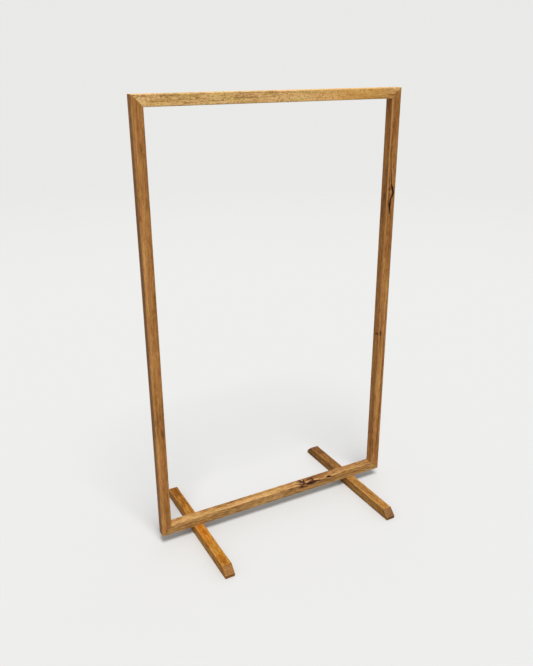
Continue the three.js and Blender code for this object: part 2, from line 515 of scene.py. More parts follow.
class StainsAndCracks(NodeGroup):
    """The stains and gum veins, frayed along the grain and laced with dark lines."""

    FRAYING = Grain(75.0, 330.0, 4.0)
    FRAYED_STAIN = 3.0
    FRAYED_EDGE = 0.9
    LACING = Grain(55.0, 120.0, 3.0)
    LACE_WIDTH = 0.045
    LACED_STAIN: Rise = (0.3, 0.7)
    LACE_STRENGTH = 0.75
    LUMPS = Grain(160.0, 420.0)
    RESINOUS: Rise = (-0.1, 0.2)
    STAINED_RIM: Rise = (0.05, 0.5)
    RIM_STRENGTH = 0.7
    OPENING: Rise = (0.42, 0.56)
    SMOOTHER = 0.15
    GUM_DEPTH = 1.6
    LUMP_HEIGHT = 0.3

    def __init__(self) -> None:
        """Build the group."""
        super().__init__(
            "stains_and_cracks",
            RGBA=("Color", "Stained", "Gum", "Resin"),
            VECTOR=("Place",),
            VALUE=("Roughness", "Height", "Stain", "Void"),
        )
        g, given = self.graph, self.given
        place, stain, void = given["Place"], given["Stain"], given["Void"]
        fray = self.FRAYING.over(g, place)
        brown = g.scaled(g.ramp(void, *self.STAINED_RIM), self.RIM_STRENGTH, stain)
        stained = g.math("MULTIPLY", brown, g.scaled(fray, self.FRAYED_STAIN, 1.0), clamp=True)
        wisps = g.ramp(g.math("ABSOLUTE", self.LACING.over(g, place)), self.LACE_WIDTH, 0.0)
        laced = g.times(wisps, g.ramp(stain, *self.LACED_STAIN))
        opened = g.ramp(g.scaled(fray, self.FRAYED_EDGE, void), *self.OPENING)
        filled = g.math("MAXIMUM", opened, g.times(laced, self.LACE_STRENGTH))
        lumps = g.ramp(self.LUMPS.over(g, place), *self.RESINOUS)
        colour = g.mix(stained, given["Color"], given["Stained"])
        self.give(
            Color=g.mix(filled, colour, g.mix(lumps, given["Gum"], given["Resin"])),
            Roughness=g.sum((given["Roughness"], 1.0), (opened, -self.SMOOTHER)),
            Height=g.sum((given["Height"], 1.0), (filled, -self.GUM_DEPTH), (lumps, self.LUMP_HEIGHT)),
        )


WoodGroups = tuple[NodeGroup, ...]


# --------------------------------------------------------------------------- finishes


class Mark(Enum):
    """What a board's mesh carries for its material, by attribute name."""

    ARRIS = "arris"
    TINT = "tint"
    STAIN = "stain"
    VOID = "void"
    BEND = "bend"
    END_GRAIN = "end_grain"


@dataclass(frozen=True)
class Timber:
    """One board's own wood.

    Attributes:
        pale: The palest of its figure, and of its arrises, whose paler colour is partly a painted
            highlight.
        middle: Its ground colour.
        dark: The darkest of its figure.
        slot: The record's material slot.
        seed: Shifts the figure, so that no two boards match.
        end: The ground colour of its end grain.
        stained: The colour of its stains.
        pith: Where the tree's pith lies beside the board.
        rings: How strongly the growth rings show.
        streaks: How strongly the long streaks show.
        clouds: How strongly the ground colour drifts.
        flecks: How strongly short brown flecks show.
        mottle: How strongly fine mottling shows.
        pores: How dark the pores are.
        hue: How far its hue drifts from olive to rosy.
        sheen: Roughness of the oiled surface.
        worn_and_highlit: How far the arrises are painted paler, partly as wear and partly as a
            highlight.
        gum: What fills its cracks.
        resin: The paler lumps in the gum.
    """

    pale: Colour
    middle: Colour
    dark: Colour
    slot: str
    seed: float
    end: Colour = srgb(168, 118, 72)
    stained: Colour = srgb(94, 50, 28)
    pith: Place = (0.0, 0.09, -0.06)
    rings: float = 0.8
    streaks: float = 1.2
    clouds: float = 0.9
    flecks: float = 0.0
    mottle: float = 1.7
    pores: float = 0.7
    hue: float = 0.75
    sheen: float = 0.6
    worn_and_highlit: float = 0.7
    gum: Colour = srgb(22, 10, 9)
    resin: Colour = srgb(60, 26, 18)

    SPECULAR = 0.1
    RELIEF = 0.35 * MM
    RELIEF_STRENGTH = 0.4

    def material(self, name: str, middle: Vector, turn: Place, groups: WoodGroups) -> Material:
        """Build the wood of one piece, with its grain along the piece.

        Args:
            name: The piece's name.
            middle: The middle of the piece.
            turn: The turn that takes X to the piece's length.
            groups: The shared node groups, in the order that they are laid on.

        Returns:
            The material.
        """
        g = Surface(name + "_wood")
        bent = g.vector("SUBTRACT", g.own_place(), g.attribute(Mark.BEND.value, "Vector"))
        pool: dict[str, Value] = {trait.title(): value for trait, value in vars(self).items()}
        pool["Place"] = g.fed("ShaderNodeMapping", bent, middle, turn, vector_type="TEXTURE")
        for mark in (Mark.ARRIS, Mark.TINT, Mark.STAIN, Mark.VOID, Mark.END_GRAIN):
            pool[mark.value.replace("_", " ").title()] = g.attribute(mark.value)
        for group in groups:
            pool |= group.laid_on(g, pool)
        return g.dress(
            {
                "Base Color": pool["Color"],
                "Roughness": pool["Roughness"],
                "Normal": g.bump(pool["Height"], self.RELIEF, self.RELIEF_STRENGTH),
                "Specular IOR Level": self.SPECULAR,
            }
        )


@dataclass(frozen=True)
class Zinc:
    """Zinc plating on the screws, drawn along the shank and slightly clouded.

    Attributes:
        bright: The brightest of its clouds.
        dull: The dullest.
        roughness: Between the drawn lines.
        slot: The record's material slot.
    """

    bright: Colour = srgb(205, 203, 190)
    dull: Colour = srgb(150, 147, 128)
    roughness: float = 0.24
    slot: str = "screw_steel"

    CLOUD_WAVES = (700.0, 700.0, 260.0)
    CLOUD_LAYERS = 4.0
    CLOUD_RISE = (-0.15, 0.15)
    DRAWN_WAVES = (4000.0, 4000.0, 300.0)
    DRAWN_DEPTH = 0.05 * MM
    DRAWN_ROUGHNESS = 0.25

    def material(self) -> Material:
        """Build the plating's material.

        Returns:
            The material.
        """
        g = Surface("zinc_plating")
        place = g.own_place()
        clouds = g.ramp(g.noise(place, self.CLOUD_WAVES, self.CLOUD_LAYERS), *self.CLOUD_RISE)
        drawn = g.noise(place, self.DRAWN_WAVES)
        return g.dress(
            {
                "Base Color": g.mix(clouds, self.dull, self.bright),
                "Roughness": g.scaled(drawn, self.DRAWN_ROUGHNESS, self.roughness),
                "Metallic": 1.0,
                "Normal": g.bump(drawn, self.DRAWN_DEPTH),
            }
        )


# --------------------------------------------------------------------------- marks in the wood, and painted shade and light


# How fast a soft mark fades, and the square of its reaches past which it is gone.
FADING = 1.4
GONE = 6


def faded(share: float) -> float:
    """Give a soft mark's strength by the square of how many reaches off its middle lies."""
    return math.exp(-FADING * share)


@dataclass(frozen=True)
class Patch:
    """A soft patch of paler, darker or stained wood; some patches are painted shade.

    Attributes:
        centre: From the board's middle, in the row's axes.
        reach: Half its size along each axis.
        strength: A tint, paler above 0 and darker below, or how strong a stain is.
    """

    centre: Place
    reach: Place
    strength: float

    def at(self, place: Vector) -> float:
        """Read the patch's strength at a place.

        Args:
            place: From the board's middle.

        Returns:
            The strength there.
        """
        share = 0.0
        for value, middle, reach in zip(place, self.centre, self.reach):
            share += ((value - middle) / reach) ** 2
        return self.strength * faded(share) if share < GONE else 0.0


@dataclass(frozen=True)
class Knot:
    """A knot that the grain bends round, brown at its heart.

    Attributes:
        centre: From the board's middle, in the row's axes.
        reach: Its radius across the grain.
        pull: How far the grain is drawn round it.
        strength: How brown its heart is, from 0 to 1.
        lengthening: How much longer it is along the grain than across it.
    """

    centre: Place
    reach: float
    pull: float = 0.5
    strength: float = 0.8
    lengthening: float = 1.8

    BEND_SPREAD = 2.0
    BEND_LENGTH = 8
    HEART = (0.15, 0.75)

    def bell(self, place: Vector, axis: int, spread: float) -> tuple[float, Vector]:
        """Measure how near a place is to the knot.

        Args:
            place: From the board's middle.
            axis: The axis that the grain runs along.
            spread: How many times the knot's reach is measured.

        Returns:
            From 0 far away to 1 in its heart, and the way from its centre across the grain.
        """
        away = place - Vector(self.centre)
        share = away.copy()
        share[axis] /= self.lengthening
        away[axis] = 0.0
        return math.exp(-((share.length / (self.reach * spread)) ** 2)), away

    def touches(self, place: Vector, axis: int) -> bool:
        """Say whether the knot tells at a place, by its distance along the grain."""
        return abs(place[axis] - self.centre[axis]) < self.BEND_LENGTH * self.reach

    def bend(self, place: Vector, axis: int) -> Vector:
        """Give how far the grain at a place is drawn off its way."""
        near, away = self.bell(place, axis, self.BEND_SPREAD)
        return away * near * self.pull

    def brown(self, place: Vector, axis: int) -> float:
        """Give how brown the knot makes a place."""
        return self.strength * smoothstep(*self.HEART, self.bell(place, axis, 1.0)[0])


# The flats of a 38 mm board, in millimetres from its middle.
FRONT = -19
LEFT = -19
TOP = 19

# A stop of a path: X, Y and Z from the board's middle and the half width there, in millimetres.
Stop = tuple[float, float, float, float]
Spot = tuple[float, float, float]


def on_front(*spots: Spot) -> tuple[Stop, ...]:
    """Lay a path on a board's front, by X, Z and half width."""
    return tuple((x, FRONT, z, half) for x, z, half in spots)


def on_left(*spots: Spot) -> tuple[Stop, ...]:
    """Lay a path on a board's left side, by Y, Z and half width."""
    return tuple((LEFT, y, z, half) for y, z, half in spots)


def on_top(*spots: Spot) -> tuple[Stop, ...]:
    """Lay a path on a board's top, by X, Y and half width."""
    return tuple((x, y, TOP, half) for x, y, half in spots)


def across(sides: tuple[float, float], y: float, z: float, half: float) -> tuple[Stop, Stop]:
    """Lay a path straight across a foot's end, from side to side."""
    return (sides[0], y, z, half), (sides[1], y, z, half)


@dataclass(frozen=True)
class Run:
    """A path through the wood that widens and narrows.

    Attributes:
        path: Its stops.
    """

    path: tuple[Stop, ...]

    @cached_property
    def segments(self) -> list[tuple[Vector, Vector, float, float]]:
        """Work out the stretches between the stops.

        Returns:
            Each stretch's start, its step, the half width there and how much it grows.
        """
        places = [Vector(mm(*stop[:3])) for stop in self.path]
        halves = [stop[3] * MM for stop in self.path]
        steps = [last - first for first, last in zip(places, places[1:])]
        growths = [last - first for first, last in zip(halves, halves[1:])]
        return list(zip(places, steps, halves, growths))

    def distances(self, place: Vector) -> Iterable[tuple[float, float]]:
        """Measure a place against each stretch of the path.

        Args:
            place: From the board's middle.

        Yields:
            How far off the stretch is, and its half width there.
        """
        for first, step, half, growth in self.segments:
            share = min(max((place - first).dot(step) / step.length_squared, 0.0), 1.0)
            yield (place - first - step * share).length, half + growth * share

    def ends(self) -> tuple[Vector, Vector]:
        """Give the first and last place of the path."""
        return Vector(mm(*self.path[0][:3])), Vector(mm(*self.path[-1][:3]))


@dataclass(frozen=True)
class Streak(Run):
    """A soft streak of paler, darker or stained wood along a path; some streaks are painted highlights
    and painted shade instead.

    Attributes:
        strength: A tint, paler above 0 and darker below, or how strong a stain is.
    """

    strength: float = 0.5

    def at(self, place: Vector) -> float:
        """Read the streak's strength at a place from the board's middle."""
        return self.strength * max(faded((away / half) ** 2) for away, half in self.distances(place))


SoftMarks = tuple[Patch | Streak, ...]


@dataclass(frozen=True)
class Crack(Run):
    """An open crack, slit or gum vein.

    Attributes:
        depth: How deep it is cut.
        soft: Width of its soft edge, which the material frays.
    """

    depth: float = 1.4 * MM
    soft: float = 5 * MM

    WALL = (0.45, 0.85)

    def at(self, place: Vector) -> float:
        """Read how far a place is inside the crack.

        Args:
            place: From the board's middle.

        Returns:
            1 deep inside, one half at its edge and 0 outside.
        """
        reach = self.soft / 2
        edges = [(half - reach, half + reach, away) for away, half in self.distances(place)]
        return max(1 - smoothstep(*edge) for edge in edges)

    def sunk(self, inside: float) -> float:
        """Give the share of its depth that the crack has, by how far inside it a place is."""
        return smoothstep(*self.WALL, inside)


# --------------------------------------------------------------------------- mesh helpers

# The share of its length that an edge along an axis runs in that axis.
ALONG = 0.9


def box_blank(size: Place) -> BMesh:
    """Start a bar as a box.

    Args:
        size: Its size along X, Y and Z.

    Returns:
        The box, centred in X and Y with its top at z = 0.
    """
    bm = bmesh.new()
    bmesh.ops.create_cube(bm, size=1.0)
    bmesh.ops.scale(bm, vec=size, verts=bm.verts)
    bmesh.ops.translate(bm, vec=(0.0, 0.0, -size[2] / 2), verts=bm.verts)
    return bm


def bisect(bm: BMesh, point: Sequence[float], normal: Sequence[float], clear: bool = False) -> None:
    """Draw a line round a mesh where a plane meets it.

    Args:
        bm: The mesh.
        point: A point on the plane.
        normal: The plane's normal.
        clear: Whether the part that the normal points to goes.
    """
    bmesh.ops.bisect_plane(
        bm,
        geom=bm.verts[:] + bm.edges[:] + bm.faces[:],
        dist=ON_PLANE,
        plane_co=point,
        plane_no=normal,
        clear_outer=clear,
    )


def cut_off(bm: BMesh, point: Sequence[float], outward: Vector) -> None:
    """Cut everything past a plane away and close the cut with one face.

    Args:
        bm: The mesh to cut.
        point: A point on the plane.
        outward: The way to the part that goes.
    """
    bisect(bm, point, outward, clear=True)
    bmesh.ops.edgeloop_fill(bm, edges=[edge for edge in bm.edges if edge.is_boundary])
    bmesh.ops.recalc_face_normals(bm, faces=bm.faces)


def round_edges(bm: BMesh, edges: Iterable[BMEdge], radius: float, steps: int) -> None:
    """Round edges over.

    Args:
        bm: The mesh.
        edges: Its edges to round.
        radius: How far the rounding reaches from each edge.
        steps: Faces round each edge.
    """
    bmesh.ops.bevel(
        bm,
        geom=list(edges),
        offset=radius,
        offset_type="OFFSET",
        segments=steps,
        profile=0.5,
        affect="EDGES",
        material=-1,
        clamp_overlap=True,
    )


def divide(bm: BMesh, edges: Iterable[BMEdge], cuts: int) -> None:
    """Divide edges, and the faces between them, a number of times."""
    bmesh.ops.subdivide_edges(bm, edges=list(edges), cuts=cuts, use_grid_fill=True)


def runs_along(edge: BMEdge, axis: int) -> bool:
    """Say whether an edge runs along an axis, within about 25 degrees."""
    return abs((edge.verts[1].co - edge.verts[0].co)[axis]) > ALONG * edge.calc_length()


def leaning(place: Vector, angle: float) -> Matrix:
    """Give the move that leans a shape from Z towards X and takes it to its place."""
    return Matrix.Translation(place) @ Matrix.Rotation(angle, 4, "Y")


def turned_blank(profile: Sequence[tuple[float, float]], steps: int) -> BMesh:
    """Spin a profile about Z into a closed round solid.

    Args:
        profile: Radius and height points, from the axis back to the axis.
        steps: Faces round the axis.

    Returns:
        The solid.
    """
    bm = bmesh.new()
    points = [bm.verts.new((radius, 0.0, height)) for radius, height in profile]
    line = [bm.edges.new(pair) for pair in zip(points, points[1:])]
    bmesh.ops.spin(
        bm,
        geom=points + line,
        cent=(0.0, 0.0, 0.0),
        axis=(0.0, 0.0, 1.0),
        angle=2 * math.pi,
        steps=steps,
        use_merge=True,
    )
    bmesh.ops.remove_doubles(bm, verts=bm.verts, dist=SAME_POINT)
    bmesh.ops.recalc_face_normals(bm, faces=bm.faces)
    return bm


def mesh_object(name: str, bm: BMesh) -> Object:
    """Turn a bmesh into an object of the scene and free it.

    Args:
        name: The object's name.
        bm: Its mesh.

    Returns:
        The object.
    """
    mesh = bpy.data.meshes.new(name)
    bm.to_mesh(mesh)
    bm.free()
    made = bpy.data.objects.new(name, mesh)
    bpy.context.scene.collection.objects.link(made)
    return made


def cut_with(piece: Object, cutters: Iterable[Object]) -> None:
    """Cut solids out of a piece, apply the cuts and delete the cutters.

    Args:
        piece: The piece.
        cutters: The solids to take away.
    """
    tools = list(cutters)
    for tool in tools:
        cut = piece.modifiers.new("cut", "BOOLEAN")
        cut.operation = "DIFFERENCE"
        cut.solver = "EXACT"
        cut.object = tool
    whole = piece.data
    evaluated = piece.evaluated_get(bpy.context.evaluated_depsgraph_get())
    piece.data = bpy.data.meshes.new_from_object(evaluated)
    piece.modifiers.clear()
    bpy.data.meshes.remove(whole)
    for tool in tools:
        bpy.data.objects.remove(tool)


def finish_piece(piece: Object, node: str, slot: str, material: Material, sharp: float) -> Object:
    """Shade a piece, dress it and stand it in for its CAD node.

    Args:
        piece: The piece.
        node: The CAD node that it replaces.
        slot: The record's material slot.
        material: What it wears.
        sharp: Edges that turn by more degrees than this stay crisp.

    Returns:
        The piece.
    """
    piece.data.shade_smooth()
    piece.data.set_sharp_from_angle(angle=math.radians(sharp))
    piece.data.materials.clear()
    piece.data.materials.append(material)
    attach(piece, BODY)
    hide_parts(node)
    log.info("%s: %d faces, slot %s", piece.name, len(piece.data.polygons), slot)
    return piece


# --------------------------------------------------------------------------- fasteners


@dataclass(frozen=True)
class Hole:
    """A round hole about a fastener.

    Attributes:
        base: Where the hole's own z = 0 lies.
        lean: How far its axis leans from Z towards X.
        profile: Radius and height points about its axis.
        steps: Faces round it.
    """

    base: Vector
    lean: float
    profile: tuple[tuple[float, float], ...]
    steps: int = 32

    def solid(self) -> Object:
        """Build the solid that cuts the hole.

        Returns:
            The solid.
        """
        bm = turned_blank(self.profile, self.steps)
        bmesh.ops.transform(bm, matrix=leaning(self.base, self.lean), verts=bm.verts)
        return mesh_object("hole", bm)


@dataclass
class Dowel:
    """A fluted beech dowel, square across a mitre.

    Attributes:
        name: The CAD node's name.
        lean: How far it leans from Z towards X.
        radius: Over the flutes.
        length: From end to end.
        rounding: On the rims of both ends.
        flutes: Grooves that let the glue out.
        flute_depth: How deep each groove is.
        clearance: Round the dowel in its hole.
        end_room: Past each end, for glue.
    """

    name: str
    lean: float
    radius: float = 4 * MM
    length: float = 40 * MM
    rounding: float = 0.5 * MM
    flutes: int = 12
    flute_depth: float = 0.35 * MM
    clearance: float = 0.15 * MM
    end_room: float = 0.8 * MM

    FLUTE_POINTS = 4
    ROUNDING_STEPS = 2
    SHARP = 40

    @property
    def middle(self) -> Vector:
        """The middle of the dowel."""
        low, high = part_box(self.name)
        return (low + high) / 2

    def hole(self) -> Hole:
        """Give the hole that the dowel fills.

        Returns:
            The hole.
        """
        radius = self.radius + self.clearance
        end = self.length / 2 + self.end_room
        profile = ((0.0, -end), (radius, -end), (radius, end), (0.0, end))
        return Hole(self.middle, self.lean, profile)

    def build(self, timber: Timber, groups: WoodGroups) -> Object:
        """Build the dowel.

        Args:
            timber: Its wood.
            groups: The shared node groups.

        Returns:
            The dowel.
        """
        bm = bmesh.new()
        points = self.FLUTE_POINTS * self.flutes
        bmesh.ops.create_circle(bm, cap_ends=True, radius=self.radius, segments=points)
        grooves = [vert for index, vert in enumerate(bm.verts) if index % self.FLUTE_POINTS == 0]
        shrink = 1 - self.flute_depth / self.radius
        bmesh.ops.scale(bm, vec=(shrink, shrink, 1.0), verts=grooves)
        bmesh.ops.translate(bm, vec=(0.0, 0.0, -self.length / 2), verts=bm.verts)
        grown = bmesh.ops.extrude_face_region(bm, geom=bm.faces[:])["geom"]
        top = [part for part in grown if isinstance(part, BMVert)]
        bmesh.ops.translate(bm, vec=(0.0, 0.0, self.length), verts=top)
        rims = [edge for edge in bm.edges if not runs_along(edge, 2)]
        round_edges(bm, rims, self.rounding, self.ROUNDING_STEPS)
        bmesh.ops.recalc_face_normals(bm, faces=bm.faces)
        bmesh.ops.transform(bm, matrix=leaning(self.middle, self.lean), verts=bm.verts)
        piece = mesh_object(self.name + "_pin", bm)
        turn = (0.0, self.lean - RIGHT_ANGLE, 0.0)
        wood = timber.material(self.name, self.middle, turn, groups)
        return finish_piece(piece, self.name, timber.slot, wood, self.SHARP)


@dataclass
class WoodScrew:
    """A countersunk screw with a cross recess and a thread, its point upwards.

    Attributes:
        name: The CAD node's name.
        turn: How far its recess is turned, in degrees.
        radius: Over the thread, and of the plain shank.
        head_radius: Over the head.
        head_height: Of the head's cone.
        point: Length of the pointed end.
        thread_start: From the head's face to the first turn.
        pitch: Between two turns.
        thread_depth: From the crest to the core.
        recess: Arm span, arm width and depth of the cross recess.
        counterbore: Radius and depth of the wide hole below the head.
        clearance: Round the screw in its holes.
    """

    name: str
    turn: float = 0.0
    radius: float = 2.5 * MM
    head_radius: float = 5 * MM
    head_height: float = 2.8 * MM
    point: float = 7 * MM
    thread_start: float = 18 * MM
    pitch: float = 2.2 * MM
    thread_depth: float = 0.8 * MM
    recess: tuple[float, ...] = mm(5, 1.2, 1.8)
    counterbore: tuple[float, ...] = mm(6.5, 12)
    clearance: float = 0.2 * MM

    STEPS = 24
    ROWS_PER_TURN = 8
    FLANK = (0.15, 0.6)
    THINNEST = 0.2
    SHARP = 35

    @property
    def base(self) -> Vector:
        """The middle of the head's face, which looks down."""
        low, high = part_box(self.name)
        return Vector(((low.x + high.x) / 2, (low.y + high.y) / 2, low.z))

    @property
    def length(self) -> float:
        """From the head's face to the point."""
        low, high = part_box(self.name)
        return high.z - low.z

    def hole(self) -> Hole:
        """Give the counterbore, countersink and shank hole as one.

        Returns:
            The hole.
        """
        bore, deep = self.counterbore
        head = self.head_radius + self.clearance
        shank = self.radius + self.clearance
        profile = (
            (0.0, -2 * deep),
            (bore, -2 * deep),
            (bore, 0.0),
            (head, 0.0),
            (shank, self.head_height + self.clearance),
            (shank, self.length - self.point + self.clearance),
            (0.0, self.length + self.clearance),
        )
        return Hole(self.base, 0.0, profile)

    def cut_thread(self, bm: BMesh) -> None:
        """Sink the finely divided shank between the turns of the thread.

        Args:
            bm: The plain screw.
        """
        for vert in bm.verts:
            if vert.co.z <= self.thread_start or vert.co.xy.length < SAME_POINT:
                continue
            turns = vert.co.z / self.pitch - math.atan2(vert.co.y, vert.co.x) / (2 * math.pi)
            from_crest = abs(turns % 1.0 - 0.5) * 2
            sink = self.thread_depth * smoothstep(*self.FLANK, from_crest)
            vert.co.xy = vert.co.xy * max(1 - sink / self.radius, self.THINNEST)

    def build(self, plating: Material, slot: str) -> Object:
        """Build the screw.

        Args:
            plating: The material that it wears.
            slot: The record's material slot.

        Returns:
            The screw.
        """
        rows = self.ROWS_PER_TURN * round((self.length - self.thread_start) / self.pitch)
        profile = [(0.0, 0.0), (self.head_radius, 0.0), (self.radius, self.head_height)]
        profile.append((self.radius, self.thread_start))
        for row in range(1, rows + 1):
            height = self.thread_start + (self.length - self.thread_start) * row / rows
            taper = min((self.length - height) / self.point, 1.0)
            profile.append((self.radius * taper, height))
        bm = turned_blank(profile, self.STEPS)
        self.cut_thread(bm)
        bmesh.ops.translate(bm, vec=self.base, verts=bm.verts)
        piece = mesh_object(self.name + "_body", bm)
        span, width, deep = self.recess
        arms = []
        for size in ((span, width, 2 * deep), (width, span, 2 * deep)):
            arm = box_blank(size)
            turned = Matrix.Rotation(math.radians(self.turn), 4, "Z")
            place = Matrix.Translation(self.base + Vector((0.0, 0.0, deep))) @ turned
            bmesh.ops.transform(arm, matrix=place, verts=arm.verts)
            arms.append(mesh_object("recess", arm))
        cut_with(piece, arms)
        return finish_piece(piece, self.name, slot, plating, self.SHARP)


# --------------------------------------------------------------------------- boards


@dataclass
class Board:
    """One square bar of timber, rebuilt over its CAD node.

    Attributes:
        name: The CAD node's name.
        timber: Its own wood.
        holes: Holes for the fasteners that enter it.
        tints: Soft patches and streaks of paler or darker wood, and of painted shade and highlights.
        stains: Soft brown stains.
        knots: Knots that the grain bends round.
        cracks: Open cracks and gum veins.
        easing: Radius of the long arrises.
        easing_steps: Faces round an arris.
        across_cuts: Lines along each flat face.
        step: Between the lines round the bar.
        fine_step: The same near a knot or crack.
        dents: How many small dents the arrises carry.
        seed: For the dents and the unevenness of the arrises.
    """

    name: str
    timber: Timber
    holes: tuple[Hole, ...] = ()
    tints: SoftMarks = ()
    stains: SoftMarks = ()
    knots: tuple[Knot, ...] = ()
    cracks: tuple[Crack, ...] = ()
    easing: float = 2.5 * MM
    easing_steps: int = 6
    across_cuts: int = 15
    step: float = 2.6 * MM
    fine_step: float = 0.9 * MM
    dents: int = 16
    seed: int = 1
    low: Vector = field(init=False)
    high: Vector = field(init=False)

    # What is divided: edges across a flat, edges along the board, and edges near a mark.
    SHORTEST_ACROSS = 12 * MM
    LONGEST_PLAIN = 100 * MM
    COARSE_STEPS = 1.7
    KNOT_ZONE = 2
    CRACK_ZONE = 6 * MM

    # Where a flat turns to arris, in easings, and a side to end grain, by its normal.
    ARRIS = (0.3, 1.3)
    END_GRAIN = (0.35, 0.65)

    # The sanding of the arrises: its depth in millimetres, its waves, and how far off a mitre.
    SANDING = 0.3
    SANDING_WAVES = (9, 40)
    CRISP_END = 8 * MM

    # The dents: how far along, their reach and depth in millimetres, and how long they are.
    DENTED = 0.45
    DENT_REACH = (2.5, 6)
    DENT_DEPTH = (0.3, 0.9)
    DENT_SQUASH = 0.6

    SHARP = 32

    def __post_init__(self) -> None:
        """Take the board's place from its CAD node."""
        self.low, self.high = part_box(self.name)

    @property
    def middle(self) -> Vector:
        """The middle of the board."""
        return (self.low + self.high) / 2

    @property
    def axis(self) -> int:
        """The row axis that the board runs along."""
        return max(range(3), key=lambda axis: self.high[axis] - self.low[axis])

    @property
    def length(self) -> float:
        """From end to end."""
        return (self.high - self.low)[self.axis]

    @property
    def section(self) -> tuple[float, float]:
        """The blank's size in Y and in Z."""
        raise NotImplementedError

    @property
    def turn(self) -> Place:
        """The turn that takes the blank, which runs along X, to the board's way."""
        raise NotImplementedError

    @property
    def top(self) -> Vector:
        """Where the blank's top middle goes."""
        raise NotImplementedError

    def blank(self) -> BMesh:
        """Build the board's plain shape along X, its top at z = 0."""
        raise NotImplementedError

    def lines_across(self, bm: BMesh) -> list[BMEdge]:
        """Find the edges across the flat faces, from which the lines along them start."""
        across = (edge for edge in bm.edges if not runs_along(edge, 0))
        return [edge for edge in across if edge.calc_length() > self.SHORTEST_ACROSS]

    def refine(self, bm: BMesh) -> None:
        """Divide the blank lengthwise, and finely round each knot and crack.

        Args:
            bm: The blank.
        """
        divide(bm, self.lines_across(bm), self.across_cuts)
        along = (edge for edge in bm.edges if runs_along(edge, 0))
        long = [edge for edge in along if edge.calc_length() > self.LONGEST_PLAIN]
        divide(bm, long, round(self.length / self.step))
        zones = [(knot.centre, knot.centre, self.KNOT_ZONE * knot.reach) for knot in self.knots]
        zones += [(*crack.ends(), self.CRACK_ZONE) for crack in self.cracks]
        for first, last, reach in zones:
            low, high = sorted((first[self.axis], last[self.axis]))
            while near := self.coarse_edges(bm, low - reach, high + reach):
                divide(bm, near, 1)

    def coarse_edges(self, bm: BMesh, low: float, high: float) -> list[BMEdge]:
        """Find the edges in a stretch of the board that are still too long.

        Args:
            bm: The blank.
            low: Where the stretch starts, along the board from its middle.
            high: Where it ends.

        Returns:
            The edges.
        """
        back = Matrix.Translation(self.top - self.middle) @ self.turned()
        found = []
        for edge in bm.edges:
            place = (back @ ((edge.verts[0].co + edge.verts[1].co) / 2))[self.axis]
            if low < place < high and edge.calc_length() > self.COARSE_STEPS * self.fine_step:
                found.append(edge)
        return found

    def turned(self) -> Matrix:
        """Give the board's turn as a matrix."""
        return Matrix.Rotation(self.turn[2], 4, "Z") @ Matrix.Rotation(self.turn[1], 4, "Y")

    def draw_dents(self) -> list[tuple[Vector, float, float]]:
        """Draw the small dents along the arrises by chance.

        Returns:
            Each dent's place on the blank, its reach and its depth.
        """
        depth, height = self.section
        draw = random.Random(self.seed)
        dents = []
        for _ in range(self.dents):
            place = draw.uniform(-self.DENTED, self.DENTED) * self.length
            side = draw.choice((-1, 1)) * depth / 2
            face = draw.choice((0, -1)) * height
            reach = draw.uniform(*self.DENT_REACH) * MM
            dents.append((Vector((place, side, face)), reach, draw.uniform(*self.DENT_DEPTH) * MM))
        return dents

    def ease_by_hand(self, bm: BMesh) -> None:
        """Make the arrises uneven and dented, and note them and the end grain.

        Args:
            bm: The divided blank.
        """
        arris_layer = bm.verts.layers.float.new(Mark.ARRIS.value)
        end_layer = bm.faces.layers.float.new(Mark.END_GRAIN.value)
        for face in bm.faces:
            face[end_layer] = smoothstep(*self.END_GRAIN, abs(face.normal.x))
        depth, height = self.section
        dents = self.draw_dents()
        start, end = (share * self.easing for share in self.ARRIS)
        slow, quick = self.SANDING_WAVES
        for vert in bm.verts:
            from_side = depth / 2 - abs(vert.co.y)
            from_face = height / 2 - abs(vert.co.z + height / 2)
            near = 1 - smoothstep(start, end, max(from_side, from_face))
            vert[arris_layer] = near
            if near <= 0 or abs(vert.co.x) > self.length / 2 - height - self.CRISP_END:
                continue
            place = Vector((vert.co.x * slow, vert.co.y * quick + self.seed, vert.co.z * quick))
            sink = (0.5 + 0.5 * noise.noise(place)) * near * self.SANDING * MM
            for centre, reach, deep in dents:
                if abs(vert.co.x - centre.x) < reach / self.DENT_SQUASH:
                    away = vert.co - centre
                    away.x *= self.DENT_SQUASH
                    sink += deep * (1 - smoothstep(0.0, reach, away.length))
            inward = Vector((0.0, -vert.co.y, -height / 2 - vert.co.z)).normalized()
            vert.co += inward * sink

    def keep_inside(self, bm: BMesh) -> None:
        """Draw every point of the board back inside its CAD node's box.

        Args:
            bm: The board in its place.
        """
        for vert in bm.verts:
            for axis in range(3):
                vert.co[axis] = min(max(vert.co[axis], self.low[axis]), self.high[axis])

    def note_marks(self, bm: BMesh) -> None:
        """Note tints, stains, bends and cracks on the placed board, and sink the cracks.

        Args:
            bm: The board in its place.
        """
        floats = bm.verts.layers.float
        tint, stain, void = (floats.new(m.value) for m in (Mark.TINT, Mark.STAIN, Mark.VOID))
        bend = bm.verts.layers.float_vector.new(Mark.BEND.value)
        bm.normal_update()
        middle, axis = self.middle, self.axis
        sunk = []
        for vert in bm.verts:
            place = vert.co - middle
            vert[tint] = min(max(sum(patch.at(place) for patch in self.tints), -1.0), 1.0)
            brown = sum(patch.at(place) for patch in self.stains)
            offset = Vector()
            for knot in self.knots:
                if knot.touches(place, axis):
                    offset += knot.bend(place, axis)
                    brown += knot.brown(place, axis)
            vert[bend] = offset
            vert[stain] = min(max(brown, 0.0), 1.0)
            for crack in self.cracks:
                inside = crack.at(place)
                if inside > 0:
                    vert[void] = max(vert[void], inside)
                    sunk.append((vert, vert.normal * crack.sunk(inside) * crack.depth))
        for vert, sink in sunk:
            vert.co -= sink

